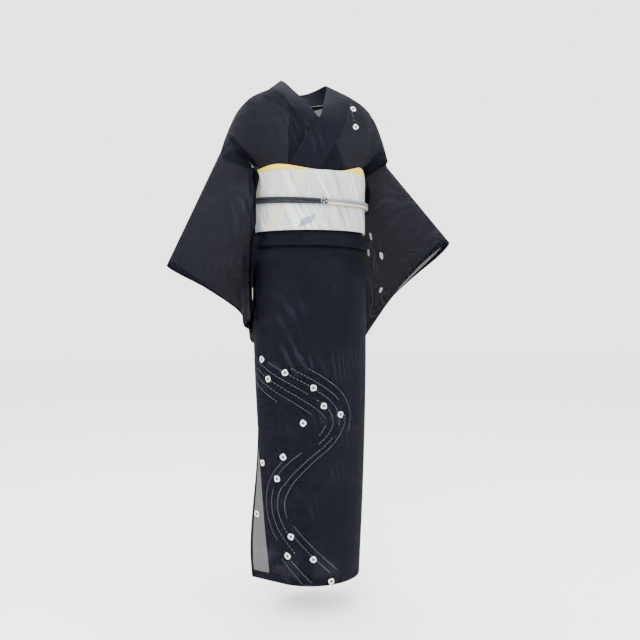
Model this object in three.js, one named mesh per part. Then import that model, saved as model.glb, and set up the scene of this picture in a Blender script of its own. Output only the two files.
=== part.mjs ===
// Gauze kimono worn with its obi, held up at the wearer's shoulders.
// Millimetres, +Z up. The front faces -Y and the wearer's left is +X.
// Heights in the tables count from the hem; the group lowers everything to the shoulder origin.
import * as THREE from 'three';

const SHOULDER_HEIGHT = 1240;
const CLOTH = 1.2;
const SEAM_GAP = 0.9;
const COLLAR_WALL = 2.2;
const COLLAR_LIFT = 3.2;
const LAYER = 2.8;

const OBI_BOTTOM = 895;
const OBI_TOP = 1046;
const OBI_TILT = 3;
const OBI_WALL = 3;
const OBI_HALF_WIDTH = 155.5;
const OBI_HALF_DEPTH = 119;
const OBI_CENTRE = { x: 4, y: -5 };

const OBIAGE_INSET = 2.7;
const OBIAGE_WALL = 1.8;
const OBIAGE_BOTTOM = 1022;
const OBIAGE_SHOWS = 3;
const DRUM_HALF_WIDTH = 106;
const DRUM_CURVE = 6;

const TUCK_BOTTOM = 852;
const TUCK_TOP = 930;
const TUCK_TURN = 12;
const TUCK_MIDDLE = 892;
const UNDER_OBI = 980;
const CHEST_BASE = 1060;
const CHEST_EASE = 0.64;
const CENTRE_GAP = 0.4;
const RIDGE_DEPTH_POWER = 0.6;
const BACK_NECK_TURN = 30;
const ARMHOLE_BULGE = 46;

const SLEEVE_LENGTH = 490;
const SLEEVE_WIDTH = 335;
const CUFF_OPENING = 230;
const SLEEVE_CORNER = 60;
const ARMHOLE_SHARE = 0.27;

const COLLAR_BOW = 3;
const COLLAR_END = 1030;
const COLLAR_GAP = 1.8;
const ARMHOLE_BLEND = 0.3;
const SLEEVE_GAP = { arm: 64, cuff: 40, foot: 8 };

// The outer overlap panel's free edge, and the height below which it stands off the skirt.
const OVERLAP = { waistAngle: 84, hemAngle: 108, standOffHeight: 470, leaveAngle: 26, seamAngle: 0.5 };

const CORD_RADIUS = 3.9;
const CORD_HEIGHT = 966;
const CORD_LIFT = 5;
const CORD_CLEARANCE = 0.9;
const CORD_SIDES = 8;
const CORD_STEPS = 34;
const STRANDS = [{ name: 'upper', rise: 4.3 }, { name: 'lower', rise: -4.3 }];
const KNOT = { halfLength: 10, halfDepth: 6.5, halfHeight: 10.5, gap: 0.3 };

// The cord's way round one half of the band, as angles from the front, and of the drum.
const BAND_ROUND = [4.2, 20, 36, 52, 68, 84, 100, 114];
const DRUM_ROUND = [
  { x: 124, y: 122.5 },
  { x: 115, y: 141 },
  { x: 98, y: 148.5 },
  { x: 55, y: 150.5 },
  { x: 0.3, y: 151.5 },
];

const CLOTH_COLOUR = 0x1e2029;
const OBI_COLOUR = 0xcdd2d4;
const OBIAGE_COLOUR = 0xeed76e;
const CORD_DARK = 0x323a44;
const CORD_PALE = 0xe1deca;

// Half width and half depth of the wrapped skirt and waist, the centre of each
// section, and the angle from the front at which the overlap panel is sewn on.
const FORM = [
  { h: 0, width: 119, depth: 104, x: 16, y: -20, seam: 30 },
  { h: 220, width: 135, depth: 108, x: 13, y: -16, seam: 26 },
  { h: 454, width: 147, depth: 111, x: 10, y: -12, seam: 22 },
  { h: 640, width: 152, depth: 112, x: 8, y: -9, seam: 21 },
  { h: 790, width: 151, depth: 110, x: 6, y: -7, seam: 21 },
  { h: 850, width: 143, depth: 103, x: 5, y: -6, seam: 21 },
  { h: 905, width: 134, depth: 95, x: 4, y: -5, seam: 21 },
  { h: 1100, width: 134, depth: 95, x: 4, y: -5, seam: 21 },
];

// The fold line over the shoulder, from the collar seam to the sleeve seam.
const RIDGE = [
  { v: 0, x: 110, h: 1266 },
  { v: 0.3, x: 146, h: 1248 },
  { v: 0.52, x: 171, h: 1228 },
  { v: 0.7, x: 191, h: 1199 },
  { v: 0.86, x: 213, h: 1150 },
  { v: 1, x: 229, h: 1104 },
];

// Distance of each layer from the form: skirt, hidden turn of the waist tuck, upper body.
const LAYERS = {
  right: { skirt: 0, turn: 3 * LAYER, upper: 4 * LAYER },
  left: { skirt: LAYER, turn: 2 * LAYER, upper: 5 * LAYER },
};

// Free edge of the collar beside the seam: seam angle, then where the edge stands.
const COLLAR_EDGE = [
  { t: -12, x: -92, y: -88.5, h: 1028 },
  { t: 0, x: -84, y: -92.5, h: 1052 },
  { t: 5, x: -70, y: -99, h: 1080 },
  { t: 10, x: -48, y: -106, h: 1116 },
  { t: 16, x: -28, y: -109, h: 1148 },
  { t: 22, x: -11, y: -108, h: 1171 },
  { t: 28, x: 3, y: -102, h: 1189 },
  { t: 40, x: 24, y: -69, h: 1231 },
  { t: 58, x: 45, y: -29, h: 1270 },
  { t: 78, x: 58, y: 2, h: 1298 },
  { t: 92, x: 63, y: 28, h: 1309 },
  { t: 106, x: 50, y: 64, h: 1306 },
  { t: 115, x: 26, y: 86, h: 1299 },
  { t: 120, x: 0, y: 93, h: 1296 },
];

// The drum bow's flat loop and its hanging end, as distance behind the axis and height.
const DRUM_PROFILE = [
  { y: 117.5, h: 1036 },
  { y: 118, h: 1068 },
  { y: 124, h: 1079 },
  { y: 136, h: 1078 },
  { y: 143, h: 1066 },
  { y: 144, h: 975 },
  { y: 143, h: 900 },
  { y: 139, h: 884 },
  { y: 130, h: 879 },
  { y: 125, h: 888 },
  { y: 124.5, h: 940 },
];
const TAIL_PROFILE = [
  { y: 117.5, h: 1010 },
  { y: 119.5, h: 960 },
  { y: 119.5, h: 889 },
  { y: 119, h: 828 },
];

// Each sleeve's inner edge and cuff edge down its drop, as shares of the sleeve length.
const SLEEVES = {
  right: {
    inner: [
      { b: 0, x: -229, y: 0, h: 1104 },
      { b: 0.24, x: -160, y: -66, h: 1050 },
      { b: 0.36, x: -161, y: -76, h: 988 },
      { b: 0.5, x: -163, y: -79, h: 920 },
      { b: 0.75, x: -168, y: -70, h: 797 },
      { b: 1, x: -164, y: -62, h: 675 },
    ],
    cuff: [
      { b: 0, x: -375, y: -50, h: 800 },
      { b: 0.47, x: -190, y: 40, h: 705 },
      { b: 0.75, x: -118, y: 128, h: 640 },
      { b: 1, x: -88, y: 196, h: 584 },
    ],
  },
  left: {
    inner: [
      { b: 0, x: 229, y: 0, h: 1104 },
      { b: 0.27, x: 178, y: 26, h: 1042 },
      { b: 0.5, x: 178, y: 72, h: 934 },
      { b: 0.75, x: 174, y: 118, h: 812 },
      { b: 1, x: 150, y: 160, h: 694 },
    ],
    cuff: [
      { b: 0, x: 303, y: -230, h: 863 },
      { b: 0.47, x: 252, y: -38, h: 747 },
      { b: 0.75, x: 226, y: 56, h: 660 },
      { b: 1, x: 200, y: 118, h: 584 },
    ],
  },
};

// Hanging folds of a sleeve: where each crest lies across the width, and its depth.
const SLEEVE_FOLDS = [
  { at: 0.24, width: 0.16, depth: 20 },
  { at: 0.52, width: 0.1, depth: -3 },
  { at: 0.7, width: 0.1, depth: 9 },
  { at: 0.88, width: 0.08, depth: -6 },
];

const radians = (degrees) => (degrees * Math.PI) / 180;
const mix = (a, b, share) => a + (b - a) * share;
const clamp01 = (value) => Math.min(1, Math.max(0, value));
const smooth = (value) => clamp01(value) ** 2 * (3 - 2 * clamp01(value));

/** Row of a table at a key, with every column eased between rows by a cubic. */
function tableRow(table, key, value) {
  const last = table.length - 1;
  let i = 0;
  while (i < last - 1 && value > table[i + 1][key]) i += 1;
  const span = table[i + 1][key] - table[i][key];
  const share = clamp01((value - table[i][key]) / span);
  const row = {};
  for (const name of Object.keys(table[0])) {
    const slope = (j) => {
      const low = table[Math.max(0, j - 1)];
      const high = table[Math.min(last, j + 1)];
      return (high[name] - low[name]) / (high[key] - low[key]);
    };
    const [p, q] = [table[i][name], table[i + 1][name]];
    const [m, n] = [slope(i) * span, slope(i + 1) * span];
    const s2 = share * share;
    const s3 = s2 * share;
    row[name] = (2 * s3 - 3 * s2 + 1) * p + (s3 - 2 * s2 + share) * m;
    row[name] += (3 * s2 - 2 * s3) * q + (s3 - s2) * n;
  }
  return row;
}

const vec = (row) => new THREE.Vector3(row.x, row.y, row.h);

/** Point of the form at a height and angle from the front, pushed out by a layer. */
function formPoint(h, angle, out) {
  const row = tableRow(FORM, 'h', h);
  const a = radians(angle);
  const x = row.x + (row.width + out) * Math.sin(a);
  return new THREE.Vector3(x, row.y - (row.depth + out) * Math.cos(a), h);
}

/** Closed solid from a grid of middle points, thickened along the grid's own normals. */
function wall(points, thickness, options = {}) {
  const rows = points.length;
  const cols = points[0].length;
  const { wrap = false, flip = false } = options;
  const at = (r, c) => points[Math.min(rows - 1, Math.max(0, r))][wrap ? (c + cols) % cols
    : Math.min(cols - 1, Math.max(0, c))];
  const side = { outer: [], inner: [] };
  for (let r = 0; r < rows; r += 1) {
    for (let c = 0; c < cols; c += 1) {
      const down = at(r + 1, c).clone().sub(at(r - 1, c));
      const along = at(r, c + 1).clone().sub(at(r, c - 1));
      const n = along.cross(down).normalize().multiplyScalar((flip ? -thickness : thickness) / 2);
      side.outer.push(at(r, c).clone().add(n));
      side.inner.push(at(r, c).clone().sub(n));
    }
  }
  const count = rows * cols;
  const faces = [];
  const quad = (a, b, c, d) => faces.push(flip ? [a, c, b] : [a, b, c], flip ? [a, d, c] : [a, c, d]);
  const id = (r, c) => r * cols + ((c + cols) % cols);
  const lastCol = wrap ? cols : cols - 1;
  for (let r = 0; r < rows - 1; r += 1) {
    for (let c = 0; c < lastCol; c += 1) {
      quad(id(r, c), id(r, c + 1), id(r + 1, c + 1), id(r + 1, c));
      quad(count + id(r, c), count + id(r + 1, c), count + id(r + 1, c + 1), count + id(r, c + 1));
    }
  }
  for (let c = 0; c < lastCol; c += 1) {
    quad(id(0, c), count + id(0, c), count + id(0, c + 1), id(0, c + 1));
    quad(id(rows - 1, c), id(rows - 1, c + 1), count + id(rows - 1, c + 1), count + id(rows - 1, c));
  }
  if (!wrap) {
    for (let r = 0; r < rows - 1; r += 1) {
      quad(id(r, 0), id(r + 1, 0), count + id(r + 1, 0), count + id(r, 0));
      const c = cols - 1;
      quad(id(r, c), count + id(r, c), count + id(r + 1, c), id(r + 1, c));
    }
  }
  const geometry = new THREE.BufferGeometry();
  const flat = [...side.outer, ...side.inner].flatMap((p) => [p.x, p.y, p.z]);
  geometry.setAttribute('position', new THREE.Float32BufferAttribute(flat, 3));
  geometry.setIndex(faces.flat());
  return geometry;
}

const materials = {
  cloth: new THREE.MeshStandardMaterial({ color: CLOTH_COLOUR, roughness: 0.85, metalness: 0 }),
  obi: new THREE.MeshStandardMaterial({ color: OBI_COLOUR, roughness: 0.6, metalness: 0 }),
  obiage: new THREE.MeshStandardMaterial({ color: OBIAGE_COLOUR, roughness: 0.7, metalness: 0 }),
  cordDark: new THREE.MeshStandardMaterial({ color: CORD_DARK, roughness: 0.6, metalness: 0 }),
  cordPale: new THREE.MeshStandardMaterial({ color: CORD_PALE, roughness: 0.6, metalness: 0 }),
};

const kimono = new THREE.Group();
kimono.position.z = -SHOULDER_HEIGHT;

function addPiece(name, geometry, material) {
  const mesh = new THREE.Mesh(geometry, material);
  mesh.name = name;
  kimono.add(mesh);
  return mesh;
}

/** Heights and layer shares of one long strip: skirt up, the tuck's two turns, waist. */
function stripProfile(layers) {
  const turnGap = Math.abs(layers.turn - layers.skirt);
  const dropGap = Math.abs(layers.upper - layers.turn);
  const skirtTop = TUCK_TOP + turnGap / 2;
  const foldLow = TUCK_BOTTOM + TUCK_TURN - dropGap;
  const skirt = [0, 70, 150, 230, 320, 410, 500, 590, 680, 750, 810, 860, 900];
  const rows = skirt.map((h) => ({ h, out: layers.skirt }));
  rows.push({ h: TUCK_TOP - 4, out: layers.skirt });
  rows.push({ h: skirtTop, out: mix(layers.skirt, layers.turn, 0.25) });
  rows.push({ h: skirtTop, out: mix(layers.skirt, layers.turn, 0.75) });
  rows.push({ h: TUCK_TOP - 4, out: layers.turn });
  rows.push({ h: TUCK_MIDDLE, out: layers.turn });
  rows.push({ h: foldLow + 8, out: layers.turn });
  rows.push({ h: foldLow, out: mix(layers.turn, layers.upper, 0.2) });
  rows.push({ h: foldLow, out: mix(layers.turn, layers.upper, 0.8) });
  rows.push({ h: foldLow + 8, out: layers.upper });
  rows.push({ h: TUCK_MIDDLE, out: layers.upper });
  rows.push({ h: TUCK_TOP, out: layers.upper });
  rows.push({ h: UNDER_OBI, out: layers.upper });
  rows.push({ h: COLLAR_END, out: layers.upper });
  return rows;
}

/** Layers ease from the front's wrapping order to one common order at the centre back. */
function layersAt(side, angle) {
  const share = side === 'left' ? smooth((angle - 90) / 85) : 0;
  const row = {};
  for (const name of Object.keys(LAYERS.right)) {
    row[name] = mix(LAYERS[side][name], LAYERS.right[name], share);
  }
  return row;
}

/** Upper body over the shoulder: t runs 0 at the front waist, 90 on the ridge, 180 behind. */
function shoulderPoint(side, v, t) {
  const ridge = tableRow(RIDGE, 'v', v);
  const front = t <= 90;
  const angle = front ? v * 90 : 180 - Math.max(v * 90, CENTRE_GAP);
  const out = layersAt(side, angle).upper;
  const base = formPoint(CHEST_BASE, angle, out);
  const rise = Math.sin(radians(t));
  const power = front ? mix(side === 'left' ? 0.8 : 1.5, 0.75, v) : mix(1.1, 0.75, v);
  let spread = rise ** power;
  if (!front) {
    const neck = 1 - smooth((t - 90) / BACK_NECK_TURN);
    spread = mix(neck, spread, smooth(v * 1.6));
  }
  const ease = mix(smooth(rise / CHEST_EASE), 1, 1 - v);
  const centre = OBI_CENTRE.x * (1 - rise);
  const reach = mix(base.x - OBI_CENTRE.x, ridge.x, front || v > 0.2 ? spread * ease : spread);
  const depth = Math.abs(Math.cos(radians(t))) ** RIDGE_DEPTH_POWER;
  const bulge = ARMHOLE_BULGE * Math.sin(radians(2 * t)) * v * v * ease;
  const y = mix(0, base.y, depth) - bulge;
  return new THREE.Vector3(centre + (side === 'left' ? reach : -reach), y, mix(CHEST_BASE, ridge.h, rise));
}

/** Angle from the front of a body panel's front edge at a height, negative across the centre. */
function frontEdge(h) {
  const { seam } = tableRow(FORM, 'h', h);
  const start = TUCK_TOP + 10;
  return mix(-seam, 0, smooth((h - start) / (CHEST_BASE - start)));
}

/** One body panel: front hem, tuck, chest, over the shoulder and down to the back hem. */
function bodyPanel(side) {
  const columns = 11;
  const steps = [8, 17, 27, 38, 50, 62, 74, 84, 90, 96, 104, 112, 120, 130, 141, 152, 163, 172];
  const shares = Array.from({ length: columns }, (unused, c) => c / (columns - 1));
  const hang = (angleAt) => {
    const profiles = shares.map((v) => stripProfile(layersAt(side, angleAt(v, 0))));
    return profiles[0].map((unused, r) => shares.map((v, c) => {
      const { h, out } = profiles[c][r];
      return mirroredForm(h, angleAt(v, h), out, side);
    }));
  };
  const front = hang((v, h) => mix(frontEdge(h), 90 - CENTRE_GAP, v));
  const back = hang((v) => mix(180 - CENTRE_GAP, 90 + CENTRE_GAP, v));
  const arch = [0.5, ...steps, 179.5].map((t) => shares.map((v) => shoulderPoint(side, v, t)));
  return wall([...front, ...arch, ...back.reverse()], CLOTH, { flip: side === 'right' });
}

/** Form point with the angle measured towards the panel's own side. */
function mirroredForm(h, angle, out, side) {
  return formPoint(h, side === 'left' ? angle : -angle, out);
}

/** Overlap panel: from its seam round towards the far side, its free edge standing off low down. */
function overlapPanel(side) {
  const columns = 8;
  const rows = stripProfile(LAYERS[side]).slice(0, -1).map(({ h, out }) => {
    const seam = tableRow(FORM, 'h', h).seam;
    const row = [];
    const leave = seam + OVERLAP.leaveAngle;
    for (let c = 0; c < columns; c += 1) {
      const share = c / (columns - 1);
      const edge = mix(OVERLAP.waistAngle, OVERLAP.hemAngle, smooth(1 - h / OVERLAP.standOffHeight));
      const angle = mix(seam + OVERLAP.seamAngle, edge, share);
      const wrapped = formPoint(h, -angle, out);
      const past = Math.max(0, angle - leave);
      const from = formPoint(h, -leave, out);
      const tangent = from.clone().sub(formPoint(h, -leave + 1, out));
      const straight = from.addScaledVector(tangent, past);
      const standing = side === 'left' && angle > leave ? smooth(1 - h / OVERLAP.standOffHeight) : 0;
      const p = wrapped.lerp(straight, standing);
      row.push(side === 'left' ? p : new THREE.Vector3(2 * tableRow(FORM, 'h', h).x - p.x, p.y, p.z));
    }
    return row;
  });
  return wall(rows, CLOTH, { flip: side === 'left' });
}

/** Folded collar: one band from the left front round the neck and down under itself. */
function collarBand() {
  const columns = 5;
  const angles = [-12, 0, 5, 10, 13, 16, 19, 22, 25, 28, 34, 40, 49, 58, 68, 78, 85, 92, 99, 106, 112, 117];
  const rung = (side, t) => {
    const edge = vec(tableRow(COLLAR_EDGE, 't', t));
    const low = 1 - smooth((t - 30) / 20);
    const lift = (side === 'left' ? COLLAR_LIFT : -COLLAR_LIFT) * low;
    if (side === 'right') edge.x = -edge.x;
    edge.y -= lift;
    const seam = t < 0 ? mirroredForm(COLLAR_END, frontEdge(COLLAR_END), LAYERS[side].upper, side)
      : shoulderPoint(side, 0, t);
    seam.y -= side === 'left' ? lift * 0.5 : lift;
    const row = [];
    for (let c = 0; c < columns; c += 1) {
      const share = mix(COLLAR_GAP / seam.distanceTo(edge), 1, c / (columns - 1));
      const p = seam.clone().lerp(edge, share);
      p.y -= COLLAR_BOW * Math.sin(Math.PI * share) * (t < 100 ? 1 : -1);
      row.push(p);
    }
    return row;
  };
  const left = angles.map((t) => rung('left', t));
  const right = angles.map((t) => rung('right', t)).reverse();
  const nape = rung('left', 120).map((p) => new THREE.Vector3(0, p.y, p.z));
  return wall([...left, nape, ...right], COLLAR_WALL, {});
}

/** Where the sleeve's lowest line runs: along the bottom, round the corner, up to the cuff. */
function sleeveFoot(share) {
  const up = (SLEEVE_LENGTH - CUFF_OPENING) / SLEEVE_LENGTH;
  const total = SLEEVE_WIDTH + up * SLEEVE_LENGTH;
  const s = share * total;
  const r = SLEEVE_CORNER;
  const cut = (r * Math.PI) / 4;
  const corner = SLEEVE_WIDTH;
  if (s < corner - cut) return { a: s / SLEEVE_WIDTH * ((SLEEVE_WIDTH - r) / (SLEEVE_WIDTH - cut)), b: 1 };
  if (s > corner + cut) {
    const climb = r + (s - corner - cut) * ((up * SLEEVE_LENGTH - r) / (up * SLEEVE_LENGTH - cut));
    return { a: 1, b: 1 - climb / SLEEVE_LENGTH };
  }
  const turn = ((s - corner + cut) / (2 * cut)) * (Math.PI / 2);
  const a = 1 - (r * (1 - Math.sin(turn))) / SLEEVE_WIDTH;
  return { a, b: 1 - (r * (1 - Math.cos(turn))) / SLEEVE_LENGTH };
}

/** Middle surface of a sleeve: a across from armhole to cuff, b down the drop. */
function sleeveSheet(side, a, b) {
  const inner = vec(tableRow(SLEEVES[side].inner, 'b', b));
  const cuff = vec(tableRow(SLEEVES[side].cuff, 'b', b));
  return inner.lerp(cuff, a);
}

/** Point on a sleeve: face is -1 in front and +1 behind, both meeting at the fold. */
function sleevePoint(side, k, w, face) {
  const foot = sleeveFoot(k);
  const a = mix(k, foot.a, w);
  const b = foot.b * w;
  const step = 0.02;
  const middle = sleeveSheet(side, a, b);
  const alongA = sleeveSheet(side, a + step, b).sub(sleeveSheet(side, a - step, b));
  const alongB = sleeveSheet(side, a, Math.min(1, b + step)).sub(sleeveSheet(side, a, Math.max(0, b - step)));
  const normal = alongA.cross(alongB).normalize();
  if (normal.y < 0) normal.negate();
  const swell = mix(SLEEVE_GAP.arm, SLEEVE_GAP.cuff, a) * Math.sin(Math.PI * Math.min(1, w / 0.5) ** 0.6 / 2);
  const closing = mix(0.28, 0.5, smooth(a / ARMHOLE_BLEND));
  const close = mix(1, SLEEVE_GAP.foot / SLEEVE_GAP.arm, smooth((b - 0.12) / closing));
  const lens = Math.sqrt(Math.max(0, 1 - Math.max(0, (w - 0.9) / 0.1) ** 2));
  let fold = 0;
  for (const row of SLEEVE_FOLDS) fold += row.depth * Math.exp(-(((a - row.at) / row.width) ** 2));
  const depth = (face * swell * close * lens) / 2 + fold * smooth((b - 0.2) / 0.6);
  const p = middle.addScaledVector(normal, depth);
  if (w < ARMHOLE_SHARE && k < ARMHOLE_BLEND) {
    const t = 90 * (1 - w / ARMHOLE_SHARE);
    const around = face < 0 ? t : 180 - t;
    const seam = shoulderPoint(side, 1, around);
    const away = seam.clone().sub(shoulderPoint(side, 0.9, around)).normalize();
    seam.addScaledVector(away, SEAM_GAP);
    const hold = (1 - smooth(k / ARMHOLE_BLEND)) * (1 - smooth((w / ARMHOLE_SHARE - 0.75) / 0.25));
    p.lerp(seam, hold);
  }
  return p;
}

function sleeve(side) {
  const loops = 17;
  const half = [0, 0.03, 0.07, 0.12, 0.18, 0.24, 0.31, 0.4, 0.5, 0.6, 0.7, 0.8, 0.88, 0.94, 0.98];
  const rows = [];
  for (let i = 0; i < loops; i += 1) {
    const k = i / (loops - 1);
    const row = half.map((w) => sleevePoint(side, k, w, -1));
    row.push(sleevePoint(side, k, 1, -1));
    for (const w of half.slice(1).reverse()) row.push(sleevePoint(side, k, w, 1));
    rows.push(row);
  }
  return wall(rows, CLOTH, { wrap: true, flip: side === 'left' });
}

/** Closed band round the waist between two heights, each a function of the angle. */
function waistBand(inset, thickness, lowAt, highAt, columns, rowsCount) {
  const rows = [];
  for (let r = 0; r < rowsCount; r += 1) {
    const row = [];
    for (let c = 0; c < columns; c += 1) {
      const angle = (360 * c) / columns - 180;
      const a = radians(angle);
      const h = mix(lowAt(angle), highAt(angle), r / (rowsCount - 1));
      const x = OBI_CENTRE.x + (OBI_HALF_WIDTH - inset) * Math.sin(a);
      row.push(new THREE.Vector3(x, OBI_CENTRE.y - (OBI_HALF_DEPTH - inset) * Math.cos(a), h));
    }
    rows.push(row);
  }
  return wall(rows, thickness, { wrap: true });
}

const hump = (angle, at, width) => Math.exp(-(((angle - at) / width) ** 2));

const obiTilt = (angle) => OBI_TILT * Math.sin(radians(angle));
const obiBottom = (angle) => OBI_BOTTOM + obiTilt(angle);
const obiTop = (angle) => OBI_TOP + obiTilt(angle);
const obiageTop = (angle) => obiTop(angle) + OBIAGE_SHOWS + 13 * hump(angle, -48, 24)
  + 16 * hump(angle, 52, 20) + 10 * hump(Math.abs(angle), 180, 60) - 5 * hump(angle, 5, 20);

/** Cloth strip across the back: a profile of distance behind and height, swept across X. */
function backStrip(profile, halfWidth) {
  const rows = profile.map(({ y, h }) => [-1, -0.5, 0, 0.5, 1].map((share) => (
    new THREE.Vector3(share * halfWidth, y - DRUM_CURVE * share * share, h))));
  return wall(rows, OBI_WALL, {});
}

/** One round cord strand between points, square to its path at both ends. */
function strand(points, radius) {
  const shape = new THREE.Shape();
  for (let i = 0; i < CORD_SIDES; i += 1) {
    const a = (2 * Math.PI * i) / CORD_SIDES;
    if (i === 0) shape.moveTo(radius * Math.cos(a), radius * Math.sin(a));
    else shape.lineTo(radius * Math.cos(a), radius * Math.sin(a));
  }
  const path = new THREE.CatmullRomCurve3(points);
  return new THREE.ExtrudeGeometry(shape, { steps: CORD_STEPS, bevelEnabled: false, extrudePath: path });
}

/** Half of the cord's round: from beside the knot, round the band and over the drum. */
function cordRoute(side, rise) {
  const sign = side === 'left' ? 1 : -1;
  const out = CORD_RADIUS + OBI_WALL / 2 + CORD_CLEARANCE;
  const points = [];
  for (const angle of BAND_ROUND) {
    const a = radians(angle) * sign;
    const x = OBI_CENTRE.x + (OBI_HALF_WIDTH + out) * Math.sin(a);
    const y = OBI_CENTRE.y - (OBI_HALF_DEPTH + out) * Math.cos(a);
    points.push(new THREE.Vector3(x, y, CORD_HEIGHT + rise + CORD_LIFT * Math.sin(a) ** 2));
  }
  const back = points[points.length - 1].z;
  for (const { x, y } of DRUM_ROUND) points.push(new THREE.Vector3(sign * x, y, back));
  return points;
}

for (const side of ['left', 'right']) {
  addPiece(`body_${side}`, bodyPanel(side), materials.cloth);
  addPiece(`okumi_${side}`, overlapPanel(side), materials.cloth);
  addPiece(`sleeve_${side}`, sleeve(side), materials.cloth);
}
addPiece('collar', collarBand(), materials.cloth);
const obi = waistBand(0, OBI_WALL, obiBottom, obiTop, 48, 5);
const obiage = waistBand(OBIAGE_INSET, OBIAGE_WALL, () => OBIAGE_BOTTOM, obiageTop, 48, 4);
addPiece('obi_band', obi, materials.obi);
addPiece('obiage', obiage, materials.obiage);
addPiece('obi_drum', backStrip(DRUM_PROFILE, DRUM_HALF_WIDTH), materials.obi);
addPiece('obi_tail', backStrip(TAIL_PROFILE, DRUM_HALF_WIDTH), materials.obi);
for (const { name, rise } of STRANDS) {
  addPiece(`obijime_dark_${name}`, strand(cordRoute('right', rise), CORD_RADIUS), materials.cordDark);
  addPiece(`obijime_pale_${name}`, strand(cordRoute('left', rise), CORD_RADIUS), materials.cordPale);
}
const knot = new THREE.SphereGeometry(1, 14, 9);
knot.scale(KNOT.halfLength, KNOT.halfDepth, KNOT.halfHeight);
const bandFront = OBI_CENTRE.y - OBI_HALF_DEPTH - OBI_WALL / 2;
knot.translate(OBI_CENTRE.x, bandFront - KNOT.halfDepth - KNOT.gap, CORD_HEIGHT);
addPiece('obijime_knot', knot, materials.cordDark);

export default kimono;
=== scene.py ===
"""Looks of a gauze kimono worn with its obi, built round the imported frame. Tables are in millimetres."""
import logging
import math
from dataclasses import dataclass, field
from enum import Enum
from typing import Callable, Sequence

import bmesh
import bpy
from mathutils import Matrix, Vector


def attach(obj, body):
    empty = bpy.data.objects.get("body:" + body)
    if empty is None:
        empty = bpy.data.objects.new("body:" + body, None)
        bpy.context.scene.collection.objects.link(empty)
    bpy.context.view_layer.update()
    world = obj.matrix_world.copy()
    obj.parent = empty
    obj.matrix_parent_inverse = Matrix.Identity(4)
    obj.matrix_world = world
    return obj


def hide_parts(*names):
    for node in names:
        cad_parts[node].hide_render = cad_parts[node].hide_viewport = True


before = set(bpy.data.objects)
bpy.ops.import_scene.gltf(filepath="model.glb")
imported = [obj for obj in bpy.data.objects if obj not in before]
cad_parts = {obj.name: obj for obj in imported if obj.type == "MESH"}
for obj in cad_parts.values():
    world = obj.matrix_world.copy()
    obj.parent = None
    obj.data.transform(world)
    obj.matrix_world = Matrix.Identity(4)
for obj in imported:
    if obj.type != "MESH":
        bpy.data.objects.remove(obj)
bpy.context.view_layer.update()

LOG = logging.getLogger("kimono")
MM = 0.001
SAME_PLACE = 1e-5
SHOULDER_HEIGHT = 1240.0
BODY = "root"
Row = dict[str, float]
Place = Callable[[float, float], Vector]
Path = Callable[[float], tuple[float, float]]
Strip = tuple[Sequence[float], Sequence[float], Place]
Piece = bpy.types.Object
Socket = bpy.types.NodeSocket
Colour = tuple[float, float, float]


class Side(Enum):
    """The wearer's left, which laps over, and right, which lies under."""

    LEFT = "left"
    RIGHT = "right"

    @property
    def sign(self) -> int:
        """+1 towards +X for the wearer's left, -1 for the right."""
        return 1 if self is Side.LEFT else -1


def table(columns: str, *rows: Sequence[float]) -> list[Row]:
    """Names the columns of a short table.

    Args:
        columns: Column names, parted by spaces.
        rows: One sequence of numbers for each row.
    Returns:
        One dictionary for each row.
    """
    return [dict(zip(columns.split(), row)) for row in rows]


# The wrapped form: half width, half depth and centre at each height, and the overlap's seam in degrees.
FORM = table("h width depth x y seam",
             (0, 119, 104, 16, -20, 30), (220, 135, 108, 13, -16, 26), (454, 147, 111, 10, -12, 22),
             (640, 152, 112, 8, -9, 21), (790, 151, 110, 6, -7, 21), (850, 143, 103, 5, -6, 21),
             (905, 134, 95, 4, -5, 21), (1100, 134, 95, 4, -5, 21))
RIDGE = table("v x h", (0, 110, 1266), (0.3, 146, 1248), (0.52, 171, 1228), (0.7, 191, 1199),
              (0.86, 213, 1150), (1, 229, 1104))
COLLAR_EDGE = table("t x y h",
                    (-12, -92, -88.5, 1028), (0, -84, -92.5, 1052), (5, -70, -99, 1080),
                    (10, -48, -106, 1116), (16, -28, -109, 1148), (22, -11, -108, 1171),
                    (28, 3, -102, 1189), (40, 24, -69, 1231), (58, 45, -29, 1270), (78, 58, 2, 1298),
                    (92, 63, 28, 1309), (106, 50, 64, 1306), (115, 26, 86, 1299), (120, 0, 93, 1296))
# How far each layer of cloth lies outside the wrapped form, in steps of LAYER.
LAYER = 2.8
LAYERS = {Side.RIGHT: {"skirt": 0.0, "turn": 3 * LAYER, "upper": 4 * LAYER},
          Side.LEFT: {"skirt": LAYER, "turn": 2 * LAYER, "upper": 5 * LAYER}}
TUCK_BOTTOM, TUCK_TOP, CHEST_BASE, COLLAR_END = 852.0, 930.0, 1060.0, 1030.0
OBI_CENTRE_X, OBI_CENTRE_Y = 4.0, -5.0


def mix(a: float, b: float, share: float) -> float:
    """Value a share of the way from a to b."""
    return a + (b - a) * share


def clamp01(value: float) -> float:
    """Value held between 0 and 1."""
    return min(1.0, max(0.0, value))


def smooth(value: float) -> float:
    """Eased step from 0 to 1."""
    share = clamp01(value)
    return share * share * (3 - 2 * share)


def hump(value: float, at: float, width: float) -> float:
    """Soft bell of height 1 round a place."""
    return math.exp(-(((value - at) / width) ** 2))


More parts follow.
